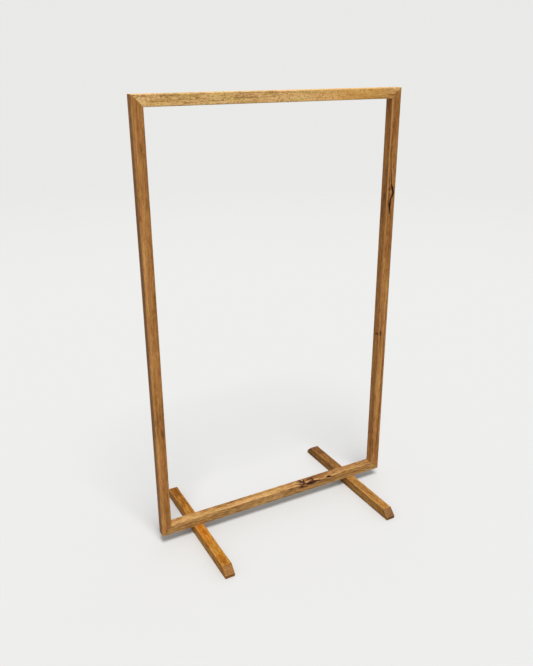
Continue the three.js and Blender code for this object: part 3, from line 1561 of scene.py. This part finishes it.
    def build(self, groups: WoodGroups) -> Object:
        """Build the board.

        Args:
            groups: The shared node groups.

        Returns:
            The board.
        """
        bm = self.blank()
        self.refine(bm)
        self.ease_by_hand(bm)
        place = Matrix.Translation(self.top) @ self.turned()
        bmesh.ops.transform(bm, matrix=place, verts=bm.verts)
        self.keep_inside(bm)
        self.note_marks(bm)
        piece = mesh_object(self.name + "_board", bm)
        if self.holes:
            cut_with(piece, [hole.solid() for hole in self.holes])
        wood = self.timber.material(self.name, self.middle, self.turn, groups)
        return finish_piece(piece, self.name, self.timber.slot, wood, self.SHARP)


class Side(Enum):
    """The side of the upright frame that a member makes, as its turn about Y."""

    TOP = 0.0
    RIGHT = RIGHT_ANGLE
    BOTTOM = 2 * RIGHT_ANGLE
    LEFT = -RIGHT_ANGLE


@dataclass
class MitredMember(Board):
    """A stile or rail of the upright frame, mitred at both ends.

    Attributes:
        side: The side of the frame that it makes.
        rim: Radius on the edges of the mitred ends.
        rim_steps: Faces round that radius.
    """

    side: Side = Side.TOP
    rim: float = 0.35 * MM
    rim_steps: int = 2

    @property
    def section(self) -> tuple[float, float]:
        """The member's depth, and its width seen from the front."""
        size = self.high - self.low
        return size.y, size[2 - self.axis]

    @property
    def turn(self) -> Place:
        """The turn that takes the blank's top to the member's outside."""
        return 0.0, self.side.value, 0.0

    @property
    def top(self) -> Vector:
        """The middle of the member's outside face."""
        return self.middle + self.turned().to_3x3() @ Vector((0.0, 0.0, self.section[1] / 2))

    def blank(self) -> BMesh:
        """Build the member along X, its outside at z = 0.

        Returns:
            The blank.
        """
        bm = box_blank((self.length, *self.section))
        round_edges(bm, [e for e in bm.edges if runs_along(e, 0)], self.easing, self.easing_steps)
        for way in (-1, 1):
            outward = Vector((way, 0.0, -1.0)).normalized()
            cut_off(bm, (way * self.length / 2, 0.0, 0.0), outward)
            mitre = max(bm.faces, key=lambda face: face.normal.dot(outward))
            round_edges(bm, mitre.edges, self.rim, self.rim_steps)
            bm.normal_update()
        return bm


@dataclass
class Foot(Board):
    """A cross foot, with a sloped top and an upright nose at each end.

    Attributes:
        skew: How far the foot lies out of square, in degrees.
        width: From side to side.
        long: From end to end.
        slope: Length that each sloped end takes from the top.
        nose: Height of the upright part below the slope.
        border: Width of the thin border round the flats of the ends.
        end_cuts: Lines each way across the cut faces of the ends.
        easing: Radius of every edge.
    """

    skew: float = 0.0
    width: float = 38 * MM
    long: float = 600 * MM
    slope: float = 27 * MM
    nose: float = 12 * MM
    border: float = 0.4 * MM
    end_cuts: int = 11
    easing: float = 1.5 * MM
    easing_steps: int = 5

    # How many easings the full section stops short of the slope, and what makes a flat and a cut.
    END_EASINGS = 3
    SMALLEST_FLAT = (10 * MM) ** 2
    CUT_LEAN = 0.5

    @property
    def length(self) -> float:
        """From end to end, along the foot."""
        return self.long

    @property
    def section(self) -> tuple[float, float]:
        """The foot's width and height."""
        return self.width, self.high.z - self.low.z

    @property
    def turn(self) -> Place:
        """The turn that takes the blank to the foot's way."""
        return 0.0, 0.0, RIGHT_ANGLE + math.radians(self.skew)

    @property
    def top(self) -> Vector:
        """The middle of the foot's top."""
        return Vector((self.middle.x, self.middle.y, self.high.z))

    def screws(self) -> list[WoodScrew]:
        """Set out the two screws that come up through the foot."""
        return [WoodScrew(f"{self.name}_{place}_screw", self.skew) for place in ("front", "back")]

    @property
    def plain_end(self) -> float:
        """How far from the middle the foot keeps its full section."""
        return self.long / 2 - self.slope - self.END_EASINGS * self.easing

    def blank(self) -> BMesh:
        """Build the foot along X, its top at z = 0.

        Returns:
            The blank.
        """
        height = self.section[1]
        bm = box_blank((self.long, *self.section))
        for way in (-1, 1):
            outward = Vector((way * (height - self.nose), 0.0, self.slope)).normalized()
            cut_off(bm, (way * (self.long / 2 - self.slope), 0.0, 0.0), outward)
        round_edges(bm, bm.edges, self.easing, self.easing_steps)
        for way in (-1, 1):
            bisect(bm, (way * self.plain_end, 0.0, 0.0), (1.0, 0.0, 0.0))
        self.divide_ends(bm)
        bm.normal_update()
        return bm

    def divide_ends(self, bm: BMesh) -> None:
        """Give each flat of the ends a thin border, which keeps it flat, and divide the cut ones.

        Args:
            bm: The blank.
        """
        bm.normal_update()
        ends = (face for face in bm.faces if abs(face.calc_center_median().x) > self.plain_end)
        flats = [face for face in ends if face.calc_area() > self.SMALLEST_FLAT]
        bmesh.ops.inset_individual(bm, faces=flats, thickness=self.border, use_even_offset=True)
        cut = [face for face in flats if abs(face.normal.x) > self.CUT_LEAN]
        divide(bm, [edge for face in cut for edge in face.edges], self.end_cuts)

    def lines_across(self, bm: BMesh) -> list[BMEdge]:
        """Find the edges across the flats where the foot's full section ends.

        Args:
            bm: The blank.

        Returns:
            The edges.
        """
        found = []
        for edge in super().lines_across(bm):
            if all(abs(abs(vert.co.x) - self.plain_end) < self.border / 2 for vert in edge.verts):
                found.append(edge)
        return found


# --------------------------------------------------------------------------- the six boards


@dataclass
class LeftStile(MitredMember):
    """The left stile, plain and even with a pale outer streak."""

    name: str = "left_stile"
    timber: Timber = Timber(
        pale=srgb(220, 165, 100),
        middle=srgb(187, 129, 72),
        dark=srgb(114, 74, 24),
        slot="left_stile_timber",
        seed=1.3,
        pith=(0.0, 0.11, -0.05),
        rings=0.55,
        clouds=0.5,
        flecks=0.3,
        mottle=1.1,
    )
    side: Side = Side.LEFT
    seed: int = 11
    tints: SoftMarks = (
        Streak(on_front((-8, 720, 4), (-8, 500, 6), (-11, 350, 5), (-13, 100, 4)), 0.3),
        Streak(on_front((-17, 790, 4), (-17, 420, 4)), -0.5),
        Streak(on_front((-11, 350, 3), (-13, 100, 5), (-12, -150, 5), (-13, -300, 3)), 0.45),
        Streak(on_front((-14, -350, 4), (-14, -500, 7), (-15, -740, 5)), 0.35),
        Streak(on_front((14, 700, 5), (15, 100, 6), (13, -300, 5), (9, -700, 5)), -0.3),
        Patch(mm(2, FRONT, -320), mm(16, 5, 60), -0.1),
        Streak(on_front((-4, 620, 5), (-4, 60, 5)), 0.22),
        Patch(mm(4, FRONT, 640), mm(12, 5, 25), -0.4),
        # Painted shade: the whole outer side is painted darker, as the side turned from the light.
        Patch(mm(LEFT, -1, 0), mm(6, 18, 1500), -0.9),
        Patch(mm(LEFT, 0, 720), mm(6, 24, 90), 0.25),
    )
    stains: SoftMarks = (
        Patch(mm(16, FRONT, -280), mm(3, 4, 6), 0.7),
        Patch(mm(LEFT, -7, -190), mm(3, 4, 14), 0.7),
    )


@dataclass
class RightStile(MitredMember):
    """The right stile, with a gum vein high up and a small knot lower down."""

    name: str = "right_stile"
    timber: Timber = Timber(
        pale=srgb(212, 157, 94),
        middle=srgb(177, 122, 65),
        dark=srgb(108, 65, 28),
        slot="right_stile_timber",
        seed=2.9,
        pith=(0.0, -0.08, -0.09),
        rings=0.6,
        clouds=0.6,
        flecks=0.25,
        mottle=1.4,
    )
    side: Side = Side.RIGHT
    seed: int = 23
    tints: SoftMarks = (
        Patch(mm(0, 0, 400), mm(40, 40, 230), -0.14),
        Patch(mm(0, 0, -300), mm(40, 40, 480), 0.12),
        # Painted shade: the inner side is darker just under the top rail.
        Patch(mm(LEFT, 0, 730), mm(8, 24, 40), -0.2),
        Streak(on_front((-11, 740, 3), (-10, 500, 4), (-10, 260, 3)), -0.4),
        Streak(on_front((1, 650, 4), (-3, 280, 5)), 0.3),
        Streak(on_front((6, 340, 3), (7, 200, 3)), -0.2),
        Patch(mm(4, FRONT, 90), mm(12, 5, 130), 0.35),
        Patch(mm(5, FRONT, -210), mm(9, 5, 150), 0.15),
        # Painted highlight: the next two pale streaks run along the front's inner arris.
        Streak(on_front((-17, 760, 4), (-16, 690, 4), (-17, 600, 3)), 0.8),
        Streak(on_front((-17, 600, 3), (-17, 350, 3)), 0.4),
        Streak(on_front((-15, 452, 3), (-15, 400, 3)), 0.5),
        Streak(on_front((4, 512, 3), (6, 468, 3)), 0.5),
        Streak(on_front((1, 425, 2), (-12, 427, 2)), 0.6),
        Streak(on_front((11, 180, 3), (3, -70, 5), (1, -230, 5), (-9, -600, 5)), 0.55),
        Streak(on_front((6, -290, 3), (8, -430, 4), (6, -600, 5), (-2, -720, 3)), -0.6),
        Streak(on_front((15, -300, 3), (10, -650, 3)), 0.35),
        Streak(on_front((-19, -430, 4), (-18, -730, 4)), -0.6),
    )
    stains: SoftMarks = (
        Patch(mm(-8, FRONT, 437), mm(7, 6, 8), 0.85),
        Patch(mm(-2, FRONT, 411), mm(7, 6, 6), 0.5),
        Streak(on_front((-2, 400, 4), (-3, 375, 6), (-1, 344, 4)), 0.95),
        Patch(mm(-9, FRONT, 380), mm(4, 5, 13), 0.7),
        Patch(mm(LEFT, -4, 408), mm(6, 9, 16), 0.55),
        Patch(mm(LEFT, 18, 530), mm(4, 4, 12), 0.4),
        Streak(on_front((-13, -122, 2), (-10, -150, 4), (-7, -182, 2)), 0.55),
        Streak(on_left((5, -158, 4), (-4, -155, 7), (-13, -152, 5)), 0.7),
    )
    knots: tuple[Knot, ...] = (Knot(mm(-10.5, -18.5, -150), 4.8 * MM, strength=1.0, lengthening=2.2),)
    cracks: tuple[Crack, ...] = (
        Crack(
            on_front(
                *((-5, 508, 0.7), (-3, 480, 1.2), (-1, 455, 1.7), (1, 447, 3.2), (4, 440, 4.8)),
                *((7, 432, 4.2), (9, 424, 3.9), (8, 416, 4.0), (5, 408, 2.8), (1, 402, 1.8)),
                *((-2, 396, 2.4), (-2, 385, 3.0), (-3, 368, 3.0), (-2, 356, 1.8), (0, 346, 0.7)),
            )
        ),
        Crack(on_left((4, -158, 0.3), (-3, -155, 0.6), (-10, -152, 0.8), (-15, -151, 0.4))),
    )


@dataclass
class TopRail(MitredMember):
    """The top rail, pale and mottled with brown specks."""

    name: str = "top_rail"
    timber: Timber = Timber(
        pale=srgb(250, 218, 162),
        middle=srgb(243, 198, 127),
        dark=srgb(134, 88, 44),
        stained=srgb(232, 164, 66),
        slot="top_rail_timber",
        seed=4.2,
        pith=(0.0, 0.05, -0.12),
        rings=0.5,
        streaks=0.6,
        flecks=1.2,
        mottle=1.0,
    )
    side: Side = Side.TOP
    seed: int = 37
    tints: SoftMarks = (
        Patch(mm(-330, FRONT, 0), mm(90, 9, 16), -0.3),
        Patch(mm(-125, FRONT, 0), mm(60, 9, 16), -0.3),
        Patch(mm(410, FRONT, -14), mm(120, 6, 14), -0.55),
        Patch(mm(-60, FRONT, 15), mm(210, 5, 6), -0.35),
        Streak(on_front((-379, 5, 4), (-260, 5, 4)), 0.35),
        Streak(on_front((150, 5, 4), (370, 5, 4)), 0.3),
        Streak(on_front((-460, -3, 2), (-440, -3, 3), (-400, -4, 2)), -0.6),
        Streak(on_front((-165, 0, 2), (-130, 0, 3), (-80, 1, 2)), -0.7),
        Streak(on_front((445, -3, 2), (470, -8, 4), (490, 4, 3)), -1.1),
    )
    stains: SoftMarks = (
        Patch(mm(320, FRONT, 0), mm(190, 24, 40), 0.42),
        Streak(on_front((320, 13, 5), (410, 12, 7)), 0.22),
        Streak(on_front((235, -8, 5), (290, -12, 6)), 0.2),
        Patch(mm(-425, FRONT, -8), mm(60, 12, 10), 0.15),
    )


@dataclass
class BottomRail(MitredMember):
    """The bottom rail, with a cluster of knots right of its middle."""

    name: str = "bottom_rail"
    timber: Timber = Timber(
        pale=srgb(226, 184, 122),
        middle=srgb(186, 140, 81),
        dark=srgb(120, 76, 36),
        slot="bottom_rail_timber",
        seed=6.8,
        pith=(0.0, -0.12, -0.08),
        rings=0.5,
        clouds=0.5,
        flecks=0.3,
        mottle=2.2,
    )
    side: Side = Side.BOTTOM
    seed: int = 41
    tints: SoftMarks = (
        Patch(mm(-170, -16, TOP), mm(380, 12, 6), 0.3),
        Patch(mm(0, 12, TOP), mm(900, 14, 6), -0.3),
        Patch(mm(300, 0, TOP), mm(160, 30, 6), -0.2),
        Patch(mm(190, -5, TOP), mm(75, 30, 6), -0.65),
        Patch(mm(63, 0, TOP), mm(60, 30, 6), -0.1),
        # Painted shade: the top is darker in the corner by the right stile.
        Patch(mm(455, -5, TOP), mm(90, 30, 6), -0.45),
        Patch(mm(-430, -16, TOP), mm(80, 10, 6), 0.3),
        Patch(mm(190, FRONT, -9), mm(60, 5, 10), -0.4),
        Patch(mm(-260, FRONT, 16), mm(260, 5, 5), -0.25),
        Patch(mm(315, FRONT, 15), mm(50, 5, 5), -0.5),
        Patch(mm(0, FRONT, -2), mm(700, 5, 16), -0.18),
        # Painted shade: the front's lower edge is darker over the left foot.
        Streak(on_front((-440, -8, 5), (-370, -11, 8), (-280, -13, 4)), -0.2),
        Streak(on_top((138, -9, 5), (151, -9, 4)), 1.0),
        Streak(on_top((125, 16, 3), (124, 0, 2), (114, -14, 2)), 0.8),
        Patch(mm(184, -11, TOP), mm(10, 5, 5), 0.8),
        Patch(mm(90, -15, TOP), mm(7, 4, 5), 0.6),
        Patch(mm(248, FRONT, 10), mm(8, 4, 3), 0.5),
        Streak(on_front((100, -8, 5), (170, -6, 7), (240, -10, 5)), 0.3),
    )
    stains: SoftMarks = (
        Patch(mm(116, 5, TOP), mm(10, 16, 6), 0.8),
        Patch(mm(104, 5, TOP), mm(6, 5, 5), 0.6),
        Streak(on_top((88, -5, 3), (108, -18, 4)), 0.8),
        Streak(on_top((136, 8, 3), (130, -3, 5), (122, -18, 4)), 0.85),
        Streak(on_top((140, -4, 3), (153, 0, 5), (163, 2, 4)), 0.75),
        Streak((*on_top((163, 3, 4), (172, 1, 6), (171, -6, 5)), (167, FRONT, 18, 5)), 0.9),
        Patch(mm(184, 6, TOP), mm(18, 8, 6), 0.6),
        Streak(on_front((128, 17, 5), (156, 12, 8), (198, 13, 5)), 0.7),
        Streak(on_front((198, 10, 5), (240, 2, 8), (262, 2, 4)), 0.4),
        Patch(mm(111, FRONT, 8), mm(11, 5, 7), 0.8),
        Streak(on_front((116, 6, 4), (138, 1, 3)), 0.5),
        Patch(mm(243, -17, TOP), mm(7, 5, 5), 0.6),
        Patch(mm(60, FRONT, 13), mm(12, 4, 5), 0.85),
        Streak(on_front((81, 9, 2), (81, -16, 2)), 0.4),
    )
    knots: tuple[Knot, ...] = (
        Knot(mm(119, -4, TOP), 9 * MM, strength=0.5),
        Knot(mm(160, FRONT, 14), 10 * MM, strength=0.7, lengthening=2.4),
        Knot(mm(248, -18, 17), 5 * MM, strength=0.9),
    )
    cracks: tuple[Crack, ...] = tuple(
        Crack(path)
        for path in (
            on_top((117, 19, 2.2), (117, 12, 2.5), (118, 4, 3.2), (117, -5, 1.9), (113, -10, 0.8)),
            (
                *on_top((90, -6, 0.6), (98, -11, 1.2), (109, -18, 1.0)),
                *on_front((118, 17, 2.3), (125, 16, 1.0)),
            ),
            on_top((135, 7, 0.8), (131, -1, 2.0), (128, -10, 1.5), (122, -18, 1.0)),
            ((128, -18, TOP, 1.0), (137, FRONT, 16, 2.0), (147, FRONT, 14, 2.8), (156, FRONT, 13, 4.6)),
            on_front((156, 13, 4.6), (163, 14, 2.8), (169, 15, 1.8), (177, 15, 3.0), (195, 13, 0.8)),
            on_top((146, -2, 0.6), (153, 0, 1.6), (159, 0, 0.6)),
            on_top((162, 3, 0.6), (170, 2, 1.7), (171, -6, 1.3), (168, -17, 1.5)),
            on_front((103, 8, 0.8), (110, 9, 2.6), (117, 5, 1.0)),
            ((233, -18, TOP, 0.6), (241, FRONT, 17, 2.0), (248, FRONT, 15, 3.0), (259, FRONT, 12, 0.8)),
        )
    )


@dataclass
class LeftFoot(Foot):
    """The left foot, orange and blotched with brown."""

    name: str = "left_foot"
    timber: Timber = Timber(
        pale=srgb(214, 158, 78),
        middle=srgb(170, 115, 40),
        dark=srgb(124, 72, 12),
        stained=srgb(206, 120, 18),
        end=srgb(153, 109, 64),
        slot="foot_timber",
        seed=9.4,
        pith=(0.0, 0.05, -0.1),
        streaks=0.9,
        clouds=0.6,
        flecks=0.25,
        mottle=2.3,
        hue=0.8,
    )
    seed: int = 53
    tints: SoftMarks = (
        # Painted highlights: pale streaks along both arrises of the top.
        Streak(on_top((15, -270, 3), (16, 250, 3)), 0.35),
        Streak(on_top((-15, -268, 3), (-14, 60, 3)), 0.25),
        Streak(across((-17, 17), -274, 17, 1.6), -0.9),
        Streak(across((-19, 19), -283, 9, 4), 0.2),
        # Painted shade: a dark band across the upper part of the nose.
        Streak(across((-19, 19), -300, -11, 3), -2.4),
        # Painted bounce light: the bottom of the nose is paler, as if lit from the floor.
        Streak(across((-19, 19), -300, -17, 3), 1.0),
        Streak(on_top((-10, -272, 3), (14, -272, 3)), -0.4),
        Streak(on_top((9, 265, 3), (7, 235, 5), (9, 205, 3)), -0.8),
        Streak(on_top((12, 175, 2), (11, 140, 4), (13, 110, 2)), -0.5),
        # Painted shade: the top's back part, behind the bottom rail, is darker.
        Patch(mm(0, 180, TOP), mm(40, 140, 10), -0.5),
        Patch(mm(0, -75, TOP), mm(30, 60, 8), 0.15),
        Streak(on_top((4, -48, 3), (1, -60, 7), (3, -78, 4)), -2.0),
        Patch(mm(-15, -130, TOP), mm(8, 18, 8), -1.4),
        Patch(mm(-1, -235, TOP), mm(12, 28, 8), -0.6),
        Streak(on_top((2, -218, 2), (4, -238, 4), (-1, -256, 3), (-9, -250, 3)), -1.1),
        Streak(on_top((-2, -205, 2), (-6, -222, 4), (-4, -240, 2)), -0.9),
        Patch(mm(LEFT, 0, 0), mm(6, 400, 16), 0.5),
        # Painted shade: the back part of the left side is darker.
        Patch(mm(LEFT, 190, -6), mm(6, 130, 12), -0.6),
        Patch(mm(LEFT, 265, 8), mm(6, 40, 12), -0.5),
        # Painted highlight: a pale streak along the top's left arris, behind the rail.
        Streak(on_top((-14, 225, 4), (-14, 90, 4)), 0.45),
        # Painted shade: the top's back end is darker.
        Patch(mm(4, 265, TOP), mm(16, 40, 8), -0.45),
    )
    stains: SoftMarks = (
        Patch(mm(0, -65, TOP), mm(30, 85, 10), 0.42),
        Streak(on_top((-14, -30, 5), (-14, -140, 5)), 0.2),
        Patch(mm(0, -222, TOP), mm(14, 40, 10), 0.35),
    )


@dataclass
class RightFoot(Foot):
    """The right foot, plain, golden and a little out of square."""

    name: str = "right_foot"
    timber: Timber = Timber(
        pale=srgb(198, 147, 80),
        middle=srgb(156, 108, 50),
        dark=srgb(100, 62, 28),
        end=srgb(132, 95, 60),
        slot="foot_timber",
        seed=12.7,
        pith=(0.0, -0.06, -0.1),
        flecks=0.2,
        mottle=2.3,
        hue=0.8,
    )
    skew: float = 1.15
    seed: int = 67
    tints: SoftMarks = (
        # Painted highlights: pale streaks along both arrises of the top, which lies a little out of
        # square.
        Streak(on_top((21, -270, 3), (11, 250, 3)), 0.35),
        Streak(on_top((-10, -270, 3), (-16, 60, 3)), 0.6),
        # Painted shade: the top's back part, behind the bottom rail, is darker.
        Patch(mm(0, 200, TOP), mm(40, 190, 10), -0.7),
        Patch(mm(-5, 265, TOP), mm(30, 60, 10), -0.6),
        Streak(across((-11, 23), -274, 17, 1.6), -0.9),
        # Painted shade: a dark band across the upper part of the nose.
        Streak(across((-13, 25), -300, -11, 3), -1.0),
        # Painted bounce light: the bottom of the nose is paler, as if lit from the floor.
        Streak(across((-13, 25), -300, -17, 3), 0.8),
        Patch(mm(-16, -130, 0), mm(8, 220, 16), 0.75),
        # Painted shade: the back end of the left side is darker.
        Patch(mm(-22, 262, 0), mm(6, 40, 20), -0.6),
        Streak(((-22, 220, 12, 5), (-20, 80, 12, 5)), 0.35),
        Patch(mm(0, -37, TOP), mm(18, 35, 8), 0.4),
        Streak(on_top((3, 200, 4), (4, 90, 4)), 0.3),
    )
    stains: SoftMarks = (Streak(across((-13, 25), -300, -12, 3), 0.45),)


# --------------------------------------------------------------------------- the two assemblies


@dataclass
class UprightFrame:
    """The four members of the upright frame and the dowels in its mitres.

    Attributes:
        groups: The shared node groups.
        beech: The dowels' wood.
    """

    groups: WoodGroups
    beech: Timber = Timber(
        pale=srgb(222, 190, 146),
        middle=srgb(204, 170, 124),
        dark=srgb(160, 118, 78),
        slot="dowel_beech",
        seed=8.6,
        flecks=0.25,
        sheen=0.62,
        worn_and_highlit=0.2,
    )

    # Which way the dowels of each corner lean, from Z towards X.
    LEANS = {"top_left": 1, "top_right": -1, "bottom_left": -1, "bottom_right": 1}

    def dowels(self, side: str = "") -> list[Dowel]:
        """Set out the dowels of every corner, or of the two on one side.

        Args:
            side: The side, as the corners' names have it.

        Returns:
            The dowels.
        """
        found = []
        for corner, way in self.LEANS.items():
            if side in corner:
                lean = way * RIGHT_ANGLE / 2
                found += [Dowel(f"{corner}_{place}_dowel", lean) for place in ("front", "back")]
        return found

    def build(self, screws: Sequence[WoodScrew]) -> None:
        """Build the members and their dowels.

        Args:
            screws: The screws that come up into the bottom rail.
        """
        for member in (LeftStile(), RightStile(), TopRail(), BottomRail()):
            fasteners = self.dowels(member.side.name.lower())
            if member.side is Side.BOTTOM:
                fasteners += screws
            member.holes = tuple(fastener.hole() for fastener in fasteners)
            member.build(self.groups)
        for dowel in self.dowels():
            dowel.build(self.beech, self.groups)


@dataclass
class CrossFeet:
    """The two cross feet and the screws that come up through them.

    Attributes:
        groups: The shared node groups.
        feet: The feet.
    """

    groups: WoodGroups
    feet: Sequence[Foot] = field(default_factory=lambda: (LeftFoot(), RightFoot()))

    def screws(self) -> list[WoodScrew]:
        """Set out the screws of both feet."""
        return [screw for foot in self.feet for screw in foot.screws()]

    def build(self) -> None:
        """Build the feet and their screws."""
        for foot in self.feet:
            foot.holes = tuple(screw.hole() for screw in foot.screws())
            foot.build(self.groups)
        zinc = Zinc()
        plating = zinc.material()
        for screw in self.screws():
            screw.build(plating, zinc.slot)


# --------------------------------------------------------------------------- set and camera


def seen_rays(graph: Graph) -> NodeSocket:
    """Find the rays that show a surface to the camera, a mirror or a glass.

    Args:
        graph: The nodes to work in.

    Returns:
        1 on those rays and 0 on the ones that only carry light.
    """
    path = graph.node("ShaderNodeLightPath").outputs
    shown = graph.math("MAXIMUM", path["Is Camera Ray"], path["Is Glossy Ray"])
    return graph.math("MAXIMUM", shown, path["Is Transmission Ray"])


@dataclass(frozen=True)
class Floor:
    """A plain pale floor that fades into the backdrop.

    Attributes:
        radius: Of the floor.
        steps: Straight edges round it.
        drop: How far it lies below the feet.
        fade: Where the fading starts and ends.
        shown: Its colour to the camera.
        working: Its colour as a light bouncer.
        roughness: Of its paint.
    """

    radius: float = 12.0
    steps: int = 96
    drop: float = 0.3 * MM
    fade: Rise = (3.0, 9.0)
    shown: Colour = (0.7, 0.7, 0.69)
    working: Colour = (0.3, 0.3, 0.3)
    roughness: float = 0.9

    def build(self) -> Object:
        """Build the floor.

        Returns:
            The floor.
        """
        bm = bmesh.new()
        bmesh.ops.create_circle(bm, cap_ends=True, radius=self.radius, segments=self.steps)
        bmesh.ops.translate(bm, vec=(0.0, 0.0, -self.drop), verts=bm.verts)
        floor = mesh_object("floor", bm)
        g = Surface("floor_paint")
        faded = g.ramp(g.length(g.own_place()), *self.fade)
        paint = g.dress(
            {
                "Base Color": g.mix(seen_rays(g), self.working, self.shown),
                "Alpha": g.math("SUBTRACT", 1.0, faded),
                "Roughness": self.roughness,
                "Specular IOR Level": 0.0,
            }
        )
        floor.data.materials.append(paint)
        floor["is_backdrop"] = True
        return floor


@dataclass(frozen=True)
class SoftSun:
    """A broad distant lamp.

    Attributes:
        name: What it does.
        toward: The way to the lamp.
        level: How bright it makes a white face that looks at it.
        spread: Its width in the sky, in degrees.
    """

    name: str
    toward: Place
    level: float
    spread: float

    def build(self) -> None:
        """Hang the lamp."""
        lamp = bpy.data.lights.new(self.name, "SUN")
        lamp.energy = self.level * math.pi
        lamp.angle = math.radians(self.spread)
        holder = bpy.data.objects.new(self.name, lamp)
        holder.rotation_mode = "QUATERNION"
        holder.rotation_quaternion = Vector(self.toward).to_track_quat("Z", "Y")
        bpy.context.scene.collection.objects.link(holder)


@dataclass
class Studio:
    """The floor, the lamps and the backdrop.

    Attributes:
        sky: The backdrop's level as a light.
        backdrop: The backdrop's colour to the camera.
        lamps: The lamps.
    """

    sky: float = 0.45
    backdrop: Colour = (0.82, 0.82, 0.81)
    lamps: tuple[SoftSun, ...] = (
        SoftSun("key", toward=(-0.07, -0.32, 0.75), level=0.82, spread=24.0),
        SoftSun("rear_fill", toward=(0.5, 0.75, 0.3), level=0.08, spread=60.0),
    )

    def build(self) -> None:
        """Build the set."""
        Floor().build()
        for lamp in self.lamps:
            lamp.build()
        world = bpy.data.worlds.new("studio")
        world.use_nodes = True
        g = Graph(world.node_tree)
        lit = g.mix(seen_rays(g), (self.sky,) * 3, self.backdrop)
        g.fill(world.node_tree.nodes["Background"], {"Color": lit})
        scene = bpy.context.scene
        scene.world = world
        scene.view_settings.view_transform = "Standard"


@dataclass(frozen=True)
class CameraStand:
    """The camera, held high at the front left.

    Attributes:
        location: Where it stands.
        heading: Degrees from +Y towards +X.
        tilt: Degrees above the horizon.
        roll: Degrees about its own axis.
        lens: Focal length in millimetres on a 36 mm sensor.
    """

    location: Place = (-1.1585, -2.1095, 1.7267)
    heading: float = 27.84
    tilt: float = -21.57
    roll: float = -0.308
    lens: float = 37.14

    def build(self) -> None:
        """Stand the camera."""
        data = bpy.data.cameras.new("camera")
        data.lens = self.lens
        camera = bpy.data.objects.new("camera", data)
        bpy.context.scene.collection.objects.link(camera)
        camera.matrix_world = (
            Matrix.Translation(self.location)
            @ Matrix.Rotation(-math.radians(self.heading), 4, "Z")
            @ Matrix.Rotation(RIGHT_ANGLE + math.radians(self.tilt), 4, "X")
            @ Matrix.Rotation(math.radians(self.roll), 4, "Z")
        )
        bpy.context.scene.camera = camera


def note_sizes() -> None:
    """Measure the CAD's box and the finished object's box side by side, and keep neither."""
    boxes = {"cad": CAD_BOX, "visual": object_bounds()}
    {name: [list(corner) for corner in box] for name, box in boxes.items()}


def main() -> None:
    """Build the display frame, its set and its camera."""
    logging.basicConfig(level=logging.INFO, format="%(message)s")
    CameraStand().build()
    Studio().build()
    groups = (HardwoodFigure(), ArrisWearAndHighlight(), StainsAndCracks())
    feet = CrossFeet(groups)
    UprightFrame(groups).build(feet.screws())
    feet.build()
    note_sizes()


if __name__ == "__main__":
    main()
